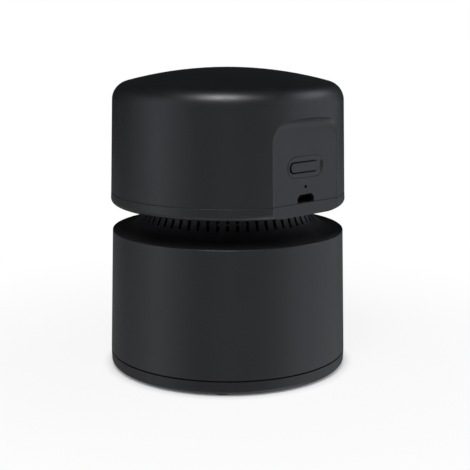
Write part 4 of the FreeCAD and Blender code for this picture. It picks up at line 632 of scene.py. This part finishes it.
def copies(name, item, places, finish):
    """One object that holds a copy of item at each place. The item itself is removed."""
    work = bmesh.new()
    for place in places:
        before = len(work.verts)
        work.from_mesh(item.data)
        work.verts.ensure_lookup_table()
        bmesh.ops.transform(work, matrix=place, verts=work.verts[before:])
    bpy.data.objects.remove(item)
    return to_object(name, work, finish)


def stand_for(item, node):
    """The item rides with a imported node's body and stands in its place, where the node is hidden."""
    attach(item, nodes[node]["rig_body"])
    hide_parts(node)
    return item


print("helpers for turned meshes ready")

# %% [markdown]
# ## Screws with a cross recess
#
# A small pan-head screw is cold formed: its head is crowned, and a punch leaves a tapered cross in it. Here
# a half section is spun into the crowned head, and two tapered bars are taken out of it with a Boolean. The
# cross could be painted as a bump, but its floor has to lie in shade when the underside is seen from near.


# %% Make the screws
def cross_cutter(span, width, depth, top):
    """Two tapered bars that cross, from above the level top to depth below it."""
    work = bmesh.new()
    for turned in (False, True):
        corners = []
        for level, taper in ((top + depth, 1.0), (top - depth, 0.45)):
            for x, y in ((-1, -1), (1, -1), (1, 1), (-1, 1)):
                along = x * span / 2 * taper
                across = y * width / 2 * (0.5 + taper / 2)
                corners.append(work.verts.new((across, along, level) if turned else (along, across, level)))
        for face in ((3, 2, 1, 0), (4, 5, 6, 7), (0, 1, 5, 4), (1, 2, 6, 5), (2, 3, 7, 6), (3, 0, 4, 7)):
            work.faces.new([corners[k] for k in face])
    bmesh.ops.recalc_face_normals(work, faces=work.faces)
    return work


def take_out(item, cutter):
    """The item without the cutter, as a plain mesh. Both bars of the cutter overlap, so self is set."""
    modifier = item.modifiers.new("cut", "BOOLEAN")
    modifier.operation = "DIFFERENCE"
    modifier.solver = "EXACT"
    modifier.use_self = True
    modifier.object = cutter
    bpy.context.view_layer.update()
    graph = bpy.context.evaluated_depsgraph_get()
    result = bpy.data.meshes.new_from_object(item.evaluated_get(graph))
    item.modifiers.clear()
    item.data = result
    bpy.data.objects.remove(cutter)
    return item


crown_share = 0.4                      # of the head's height
cross_width, cross_depth = 0.30, 0.65  # beside the head's radius and the head's height


def crossed_screw(head, head_height, shank, length):
    """A pan-head screw whose head rises along +Z from z = 0 and whose shank runs down."""
    rounding = crown_share * head_height
    crown = [(head - rounding + rounding * math.cos(a), head_height - rounding + rounding * math.sin(a))
             for a in [math.pi / 2 * k / 6 for k in range(7)]]
    profile = [(0, -length), (shank * 0.45, -length), (shank, -length + shank), (shank, 0), (head, 0)]
    item = to_object("screw", turn(profile + crown + [(0, head_height)]), screw_steel)
    cross = cross_cutter(head * 1.1, head * cross_width, head_height * cross_depth, head_height)
    cutter = to_object("cross", cross, screw_steel)
    return smooth_by_angle(take_out(item, cutter), 30)


def cross_the_screws(name, node, chance):
    """Detailed screws, heads down, in place of a node's plain ones, each turned to its own angle."""
    plain = [upright(points) for points in solids_of(node)]
    first = plain[0]
    head_height = first["wide_top"] - first["low"]
    length = first["high"] - first["wide_top"]
    item = crossed_screw(first["widest"], head_height, first["high_radius"], length)
    places = [Matrix.Translation((one["x"], one["y"], one["wide_top"]))
              @ Matrix.Rotation(chance.uniform(0, math.pi / 2), 4, "Z") @ Matrix.Rotation(math.pi, 4, "X")
              for one in plain]
    stand_for(copies(name, item, places, screw_steel), node)
    print(name, len(places), "heads", round(first["widest"] * 2 / mm, 2), "mm across")


screw_angles = random.Random(5)
cross_the_screws("crossed_base_screws", "base_screws", screw_angles)
cross_the_screws("crossed_cover_screws", "cover_screws", screw_angles)
cross_the_screws("crossed_shroud_screws", "shroud_screws", screw_angles)

# %% [markdown]
# ## Bristles
#
# Each tuft is a pinch of nylon hairs, folded and pressed into its hole, so that it fans out towards the
# floor. A cone with a hair texture would look like a peg from below. The tuft is small enough to make every
# hair: a thin tapered rod from the hole to its own spot on the tuft's tip, with a slight bow.


# %% Make the bristles
hairs_in_tuft = 30
hair_thick = 0.15 * mm
hair_taper = 0.25                      # how much of its thickness a hair loses towards its tip


def add_bristle(work, start, end, bow, thick, sides=5, steps=3):
    """A tapered rod from start to end that bows sideways on its way."""
    rings = []
    for k in range(steps + 1):
        share = k / steps
        middle = start.lerp(end, share) + bow * math.sin(math.pi * share)
        radius = thick / 2 * (1 - hair_taper * share)
        rings.append([work.verts.new(middle + Vector((radius * math.cos(2 * math.pi * n / sides),
                                                      radius * math.sin(2 * math.pi * n / sides), 0)))
                      for n in range(sides)])
    for lower, upper in zip(rings, rings[1:]):
        for n in range(sides):
            after = (n + 1) % sides
            work.faces.new((lower[n], lower[after], upper[after], upper[n]))
    work.faces.new(rings[0])
    work.faces.new(rings[-1])


def bristles(name, node, hairs, thick, chance):
    """A bundle of hairs for each plain tuft of the node, from the tuft's root, which is its top."""
    work = bmesh.new()
    uneven = 0.25 * mm
    sway = 0.08 * mm
    tufts = [upright(points) for points in solids_of(node)]
    for tuft in tufts:
        root, tip = tuft["high_radius"] - thick, tuft["low_radius"] - thick
        for _ in range(hairs):
            angle = chance.uniform(0, 2 * math.pi)
            out = math.sqrt(chance.random())
            ray = Vector((math.cos(angle), math.sin(angle), 0)) * out
            middle = Vector((tuft["x"], tuft["y"], 0))
            start = middle + ray * root + Vector((0, 0, tuft["high"]))
            end = middle + ray * tip + Vector((0, 0, tuft["low"] + chance.uniform(0, uneven)))
            bow = Vector((chance.uniform(-sway, sway), chance.uniform(-sway, sway), 0))
            add_bristle(work, start, end, bow, thick)
    bmesh.ops.recalc_face_normals(work, faces=work.faces)
    item = to_object(name, work, bristle_nylon)
    stand_for(smooth_by_angle(item, 80), node)
    print(name, len(tufts), "tufts of", hairs, "hairs")


bristles("brush_bristles", "brush_tufts", hairs_in_tuft, hair_thick, random.Random(11))

# %% [markdown]
# ## Glide pads
#
# The pads are moulded rubber discs with a rounded foot and a shallow ring groove, which lets them grip a
# smooth table. A beveled cylinder would do from far away. A spun half section gives the groove too.


# %% Make the glide pads
def glide_pad(radius, height):
    """A pad that stands on z = 0, with its foot rounded and a ring groove in it."""
    rounding = 0.3 * mm
    groove_middle, groove_half, groove_deep = 0.62 * radius, 0.35 * mm, 0.25 * mm
    foot = [(radius - rounding + rounding * math.sin(a), rounding - rounding * math.cos(a))
            for a in [math.pi / 2 * k / 6 for k in range(7)]]
    groove = [(groove_middle - groove_half + groove_half * 2 * k / 8,
               groove_deep * math.sin(math.pi * k / 8)) for k in range(9)]
    return turn([(0, 0)] + groove + foot + [(radius, height), (0, height)])


pads = [upright(points) for points in solids_of("glide_pads")]
one_pad = smooth_by_angle(to_object("pad", glide_pad(pads[0]["widest"], pads[0]["high"] - pads[0]["low"]),
                                    soft_rubber), 40)
pad_places = [Matrix.Translation((pad["x"], pad["y"], pad["low"])) for pad in pads]
stand_for(copies("grooved_glide_pads", one_pad, pad_places, soft_rubber), "glide_pads")
print("glide pads:", len(pads))

# %% [markdown]
# ## A dark bead in the foot's seam
#
# Between the cup and its base cover runs a line that is darker and broader than a plain joint. A bead of
# black rubber lies in it, as a seal would, made near black and almost without sheen, so that it paints that
# shade. A dark stripe painted on the wall would have no edge. The bead is a spun half section that lies in
# the imported seam's bevels, a little behind the wall.


# %% Make the dark seam bead
cup_low, cup_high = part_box("dust_cup")
seam_radius = cup_high.x
bead_half, bead_deep, bead_back = 0.42 * mm, 0.60 * mm, 0.01 * mm
bead_round = 0.20 * mm
bead = [(seam_radius - bead_deep, -bead_half), (seam_radius - bead_deep, bead_half)]
for turned in [math.pi / 2 - math.pi * k / 10 for k in range(11)]:
    straight = (bead_half - bead_round) * (1 if turned > 0 else -1)
    bead.append((seam_radius - bead_back - bead_round + bead_round * math.cos(turned),
                 straight + bead_round * math.sin(turned)))
bead_work = turn(bead + bead[:1], 192)
bmesh.ops.translate(bead_work, vec=(0, 0, cup_low.z), verts=bead_work.verts)
bmesh.ops.remove_doubles(bead_work, verts=bead_work.verts, dist=0.0001 * mm)
bmesh.ops.recalc_face_normals(bead_work, faces=bead_work.faces)
# The bead paints the shade along the seam between the cup and its base cover.
seam_shade_bead = smooth_by_angle(to_object("foot_seam_shade_bead", bead_work, seam_shade_black), 50)
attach(seam_shade_bead, nodes["dust_cup"]["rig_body"])
print("seal at", round(cup_low.z / mm, 2), "mm, radius", round(seam_radius / mm, 2), "mm")

# %% [markdown]
# ## The power button
#
# The button's face carries a long pad with a groove round it, deep at the pad's left end and running out at
# its right end, where a fingertip finds a small scoop. In the photograph this groove is the darkest line of
# the panel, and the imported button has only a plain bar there. Here the button is a stack of pill-shaped
# loops, each a little further in than the last, and the groove and the scoop are loops that are pushed back.
# A Boolean could cut the groove too, but could not let its depth run out.


# %% Make the button
def pill_loop(work, middle, half_long, half_tall, depth, steps=20):
    """A loop of points round a pill that faces -Y. The depth is a function from x to y."""
    reach = half_long - half_tall
    loop = []
    for side in (1, -1):
        for k in range(steps + 1):
            angle = math.pi * (k / steps - 0.5)
            x = middle[0] + side * (reach + half_tall * math.cos(angle))
            loop.append(work.verts.new((x, depth(x), middle[1] + side * half_tall * math.sin(angle))))
    return loop


def stack_loops(work, loops):
    """Joins loops of the same count with faces, and closes the first and the last."""
    for lower, upper in zip(loops, loops[1:]):
        for k in range(len(lower)):
            after = (k + 1) % len(lower)
            work.faces.new((lower[k], lower[after], upper[after], upper[k]))
    work.faces.new(loops[0])
    work.faces.new(loops[-1])
    bmesh.ops.recalc_face_normals(work, faces=work.faces)


button_low, button_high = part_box("power_button")
bar_proud = 0.7 * mm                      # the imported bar, in front of the button's face
flange_reach, flange_wall = 1.1 * mm, 0.8 * mm
snug = 0.12 * mm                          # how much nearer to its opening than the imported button
edge_round = 0.15 * mm
groove_deep = 1.3 * mm
scoop_deep = 0.5 * mm                     # a finger's scoop at the right end, inside the rim
scoop_run = (6.4 * mm, 7.9 * mm)
scoop_wall = 0.5 * mm
groove_run = (2.5 * mm, 6.2 * mm)         # where the groove starts to run out, and where it has
face_y = button_low.y + bar_proud
button_z = (button_low.z + button_high.z) / 2
cap_long = (button_high.x - button_low.x) / 2 - flange_reach + snug
cap_tall = (button_high.z - button_low.z) / 2 - flange_reach + snug


def ease(x, start, end):
    """0 before start, 1 after end, and a smooth step between."""
    share = min(max((x - start) / (end - start), 0), 1)
    return share * share * (3 - 2 * share)


def flat(distance):
    """A depth that is the same everywhere, behind the button's face."""
    return lambda x: face_y + distance


def scooped(x):
    return face_y + scoop_deep * ease(x, *scoop_run)


def groove_floor(x):
    return face_y + groove_deep * (1 - ease(x, *groove_run))


button_work = bmesh.new()
button_loops = []
for reach, y in ((flange_reach - snug, button_high.y), (flange_reach - snug, button_high.y - flange_wall),
                 (0, button_high.y - flange_wall)):
    button_loops.append(pill_loop(button_work, (0, button_z), cap_long + reach, cap_tall + reach,
                                  flat(y - face_y)))
for k in range(6):
    turned = math.pi / 2 * k / 5
    inset = edge_round * (1 - math.cos(turned))
    button_loops.append(pill_loop(button_work, (0, button_z), cap_long - inset, cap_tall - inset,
                                  flat(edge_round * (1 - math.sin(turned)))))
inset = edge_round + scoop_wall
button_loops.append(pill_loop(button_work, (0, button_z), cap_long - inset, cap_tall - inset, scooped))
groove_outside = (-0.75 * mm, 7.25 * mm, 2.08 * mm)     # middle, half length, half width
pad_outline = (-0.43 * mm, 6.63 * mm, 1.53 * mm)
draft = 0.12 * mm
for (x, half_long, half_tall), inset, depth in (
        (groove_outside, 0, scooped), (groove_outside, draft, groove_floor),
        (pad_outline, -draft, groove_floor), (pad_outline, 0, scooped)):
    button_loops.append(pill_loop(button_work, (x, button_z), half_long - inset, half_tall - inset, depth))
stack_loops(button_work, button_loops)
grooved_button = smooth_by_angle(to_object("grooved_power_button", button_work, button_black), 35)
stand_for(grooved_button, "power_button")
print("button:", round(cap_long * 2 / mm, 2), "x", round(cap_tall * 2 / mm, 2), "mm")

# %% [markdown]
# ## Contacts in the charging port
#
# A micro-USB socket has five gilt springs under its tongue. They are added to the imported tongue, which stays.


# %% Make the contacts
def contact_strip(work, middle, width, front, back, level):
    """One spring: a thin bar along Y under the level, with a sloping nose at its front."""
    drop, nose = 0.06 * mm, 0.25 * mm
    outline = ((front, level), (front + nose, level - drop), (back, level - drop), (back, level + drop / 3))
    ends = [[work.verts.new((middle + side * width / 2, y, z)) for y, z in outline] for side in (-1, 1)]
    work.faces.new(ends[0])
    work.faces.new(reversed(ends[1]))
    for k in range(len(outline)):
        after = (k + 1) % len(outline)
        work.faces.new((ends[0][k], ends[1][k], ends[1][after], ends[0][after]))


tongue_low, tongue_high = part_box("usb_tongue")
contact_pitch = 0.65 * mm
contact_width = 0.36 * mm
contact_front, contact_back = 0.25 * mm, 0.6 * mm       # in from the tongue's two ends
contact_work = bmesh.new()
for number in range(-2, 3):
    contact_strip(contact_work, (tongue_low.x + tongue_high.x) / 2 + number * contact_pitch, contact_width,
                  tongue_low.y + contact_front, tongue_high.y - contact_back, tongue_low.z)
bmesh.ops.recalc_face_normals(contact_work, faces=contact_work.faces)
contacts = to_object("usb_contacts", contact_work, contact_gold)
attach(contacts, nodes["usb_tongue"]["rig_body"])
print("contacts: 5 at a pitch of", contact_pitch / mm, "mm")

# %% [markdown]
# ## The studio
#
# The picture is a catalogue shot: a soft light overhead draws a short bright stripe on the shoulder, and a
# ring of tall soft boxes shades the round walls in slow vertical bands. A black satin wall shows little but
# what it mirrors, so each band is one box. The powers were found one lamp at a time: light adds up, so a
# render with each lamp alone tells what any mix of them gives. Point lamps would leave dots here. Two low
# lamps stand for the light that a white table throws back up.


# %% Helpers for lights
def direction(azimuth, elevation):
    """Unit vector; the azimuth in degrees is counted from the camera towards the viewer's right."""
    turned = math.atan2(spot.y, spot.x) + math.radians(azimuth)
    rise = math.radians(elevation)
    return Vector((math.cos(turned) * math.cos(rise), math.sin(turned) * math.cos(rise), math.sin(rise)))


lamp_target = Vector((0, 0, 0.06))     # near the middle of the object


def soft_lamp(name, azimuth, elevation, reach, width, height, power, colour=(1, 1, 1)):
    """A soft box that hangs at its reach from the target and faces it."""
    data = bpy.data.lights.new(name, "AREA")
    data.shape = "RECTANGLE"
    data.size, data.size_y = width, height
    data.energy = power
    data.color = colour
    item = bpy.data.objects.new(name, data)
    bpy.context.scene.collection.objects.link(item)
    item.location = lamp_target + direction(azimuth, elevation) * reach
    item.rotation_euler = (lamp_target - item.location).to_track_quat("-Z", "Y").to_euler()
    return item


# %% Hang the lamps
box_reach = 0.9
box_height = 1.3
box_tint = (0.95, 0.98, 1.06)
lamps = [soft_lamp("overhead", -10, 60, box_reach, 0.30, 0.30, 4.6),
         soft_lamp("overhead_wide", -6, 60, box_reach, 1.00, 0.20, 1.4)]
for azimuth, width, power in ((0, 0.40, 0.75), (-28, 0.40, 0.42), (28, 0.40, 0.52),
                              (-50, 0.32, 0.85), (-70, 0.32, 1.50), (-92, 0.40, 0.62), (-118, 0.45, 0.12),
                              (50, 0.32, 0.60), (70, 0.32, 1.25), (92, 0.40, 1.35), (118, 0.45, 0.98)):
    side = "left" if azimuth < 0 else "right"
    lamps.append(soft_lamp("soft_box_%s_%d" % (side, abs(azimuth)), azimuth, 0, box_reach, width, box_height,
                           power, box_tint))
lamps.append(soft_lamp("right_shoulder", 106, 38, box_reach, 0.5, 0.3, 1.0, box_tint))
lamps.append(soft_lamp("low_bounce", 75, -55, box_reach, 0.6, 0.6, 2.6, box_tint))
lamps.append(soft_lamp("table_bounce", -60, -80, box_reach, 1.0, 1.0, 3.0, box_tint))
for lamp in lamps:
    lamp.visible_camera = False
print("lamps:", len(lamps), "with", round(sum(lamp.data.energy for lamp in lamps), 2), "W in all")

# %% [markdown]
# ## White all round, and a dim room for the mirror rays
#
# The background has to be white without lighting the object more. Light Path tells camera rays from others,
# so the world and the floor are white to the camera and dim to the lamps' bounces. Mirror rays see the same
# background, but dimmed: black plastic in a bright white room would look silver at its edges, and in the
# photograph its edges are dark. The tall boxes reach below the floor, and the floor lets shadow rays and part
# of the mirror rays through. So the bands run down the wall to the table, as in the photograph. From below
# the floor is clear, and the underside can be looked at.

# %% The world
mirror_share = 0.004                   # how much of the white background a mirror ray sees
room_tint, room_strength = (0.9, 0.95, 1.0, 1), 0.01
world = bpy.data.worlds.new("studio")
bpy.context.scene.world = world
world.use_nodes = True
sky = world.node_tree
sky.nodes.clear()
path = sky.nodes.new("ShaderNodeLightPath")
mirrored = maths(sky, "MULTIPLY", path.outputs["Is Glossy Ray"], mirror_share)
through = maths(sky, "MAXIMUM", path.outputs["Is Camera Ray"], path.outputs["Is Transmission Ray"])
white_part = maths(sky, "MAXIMUM", through, mirrored)
room = add_node(sky, "Background", {"Color": room_tint, "Strength": room_strength})
white = add_node(sky, "Background", {"Color": (1, 1, 1, 1), "Strength": 1.0})
blend_sky = add_node(sky, "MixShader", {0: white_part, 1: room.outputs[0], 2: white.outputs[0]})
world_out = sky.nodes.new("ShaderNodeOutputWorld")
sky.links.new(blend_sky.outputs[0], world_out.inputs["Surface"])
print("world ready")


# %% The floor
floor_half = 4.0
floor_mirror_pass = 0.62               # the part of the mirror rays that goes through
painted_foot_shade_ring = (0.040, 0.048)             # from the axis: from the painted dark under the foot to the painted soft shade
painted_shadow_ring = (0.05, 0.20)             # from the painted soft shade to the plain white
# How white the floor is in its painted soft shade round the foot, beside the plain white further out.
painted_shadow_white = 0.86
floor_paint = (0.8, 0.8, 0.8, 1)


def floor_material():
    """White to the camera, but darker in a painted ring round the foot, where the real shadow on the diffuse
    part shows.
    """
    material = bpy.data.materials.new("pale_floor")
    material.use_nodes = True
    tree = material.node_tree
    tree.nodes.clear()
    rays = tree.nodes.new("ShaderNodeLightPath")
    paint = add_node(tree, "BsdfDiffuse", {"Color": floor_paint})
    glow = add_node(tree, "Emission", {"Color": (1, 1, 1, 1), "Strength": 1.0})
    clear = add_node(tree, "BsdfTransparent")
    seen = maths(tree, "MAXIMUM", rays.outputs["Is Camera Ray"], rays.outputs["Is Transmission Ray"])
    place = add_node(tree, "TexCoord").outputs["Object"]
    away = add_node(tree, "VectorMath", {0: place}, operation="LENGTH").outputs["Value"]
    # Near the axis the floor gives up its white for its lit diffuse: a painted ring of shade round the foot,
    # inside which the real shadow shows.
    under = ranged(tree, away, *painted_foot_shade_ring, to_high=painted_shadow_white, interpolation_type="SMOOTHSTEP")
    far = ranged(tree, away, *painted_shadow_ring, to_high=1 - painted_shadow_white, interpolation_type="SMOOTHSTEP")
    share = maths(tree, "ADD", under, far)
    lit = maths(tree, "MULTIPLY", seen, share)
    ground = add_node(tree, "MixShader", {0: lit, 1: paint.outputs[0], 2: glow.outputs[0]})
    mirrored = maths(tree, "MULTIPLY", rays.outputs["Is Glossy Ray"], floor_mirror_pass)
    from_below = add_node(tree, "NewGeometry").outputs["Backfacing"]
    passed = maths(tree, "MAXIMUM", mirrored, rays.outputs["Is Shadow Ray"])
    passed = maths(tree, "MAXIMUM", passed, from_below)
    surface = add_node(tree, "MixShader", {0: passed, 1: ground.outputs[0], 2: clear.outputs[0]})
    out = tree.nodes.new("ShaderNodeOutputMaterial")
    tree.links.new(surface.outputs[0], out.inputs["Surface"])
    return material


floor_work = bmesh.new()
for x, y in ((-1, -1), (1, -1), (1, 1), (-1, 1)):
    floor_work.verts.new((x * floor_half, y * floor_half, 0))
floor_work.faces.new(floor_work.verts)
floor = to_object("floor", floor_work, floor_material())
print("floor laid")

bpy.context.scene.view_settings.view_transform = "Standard"
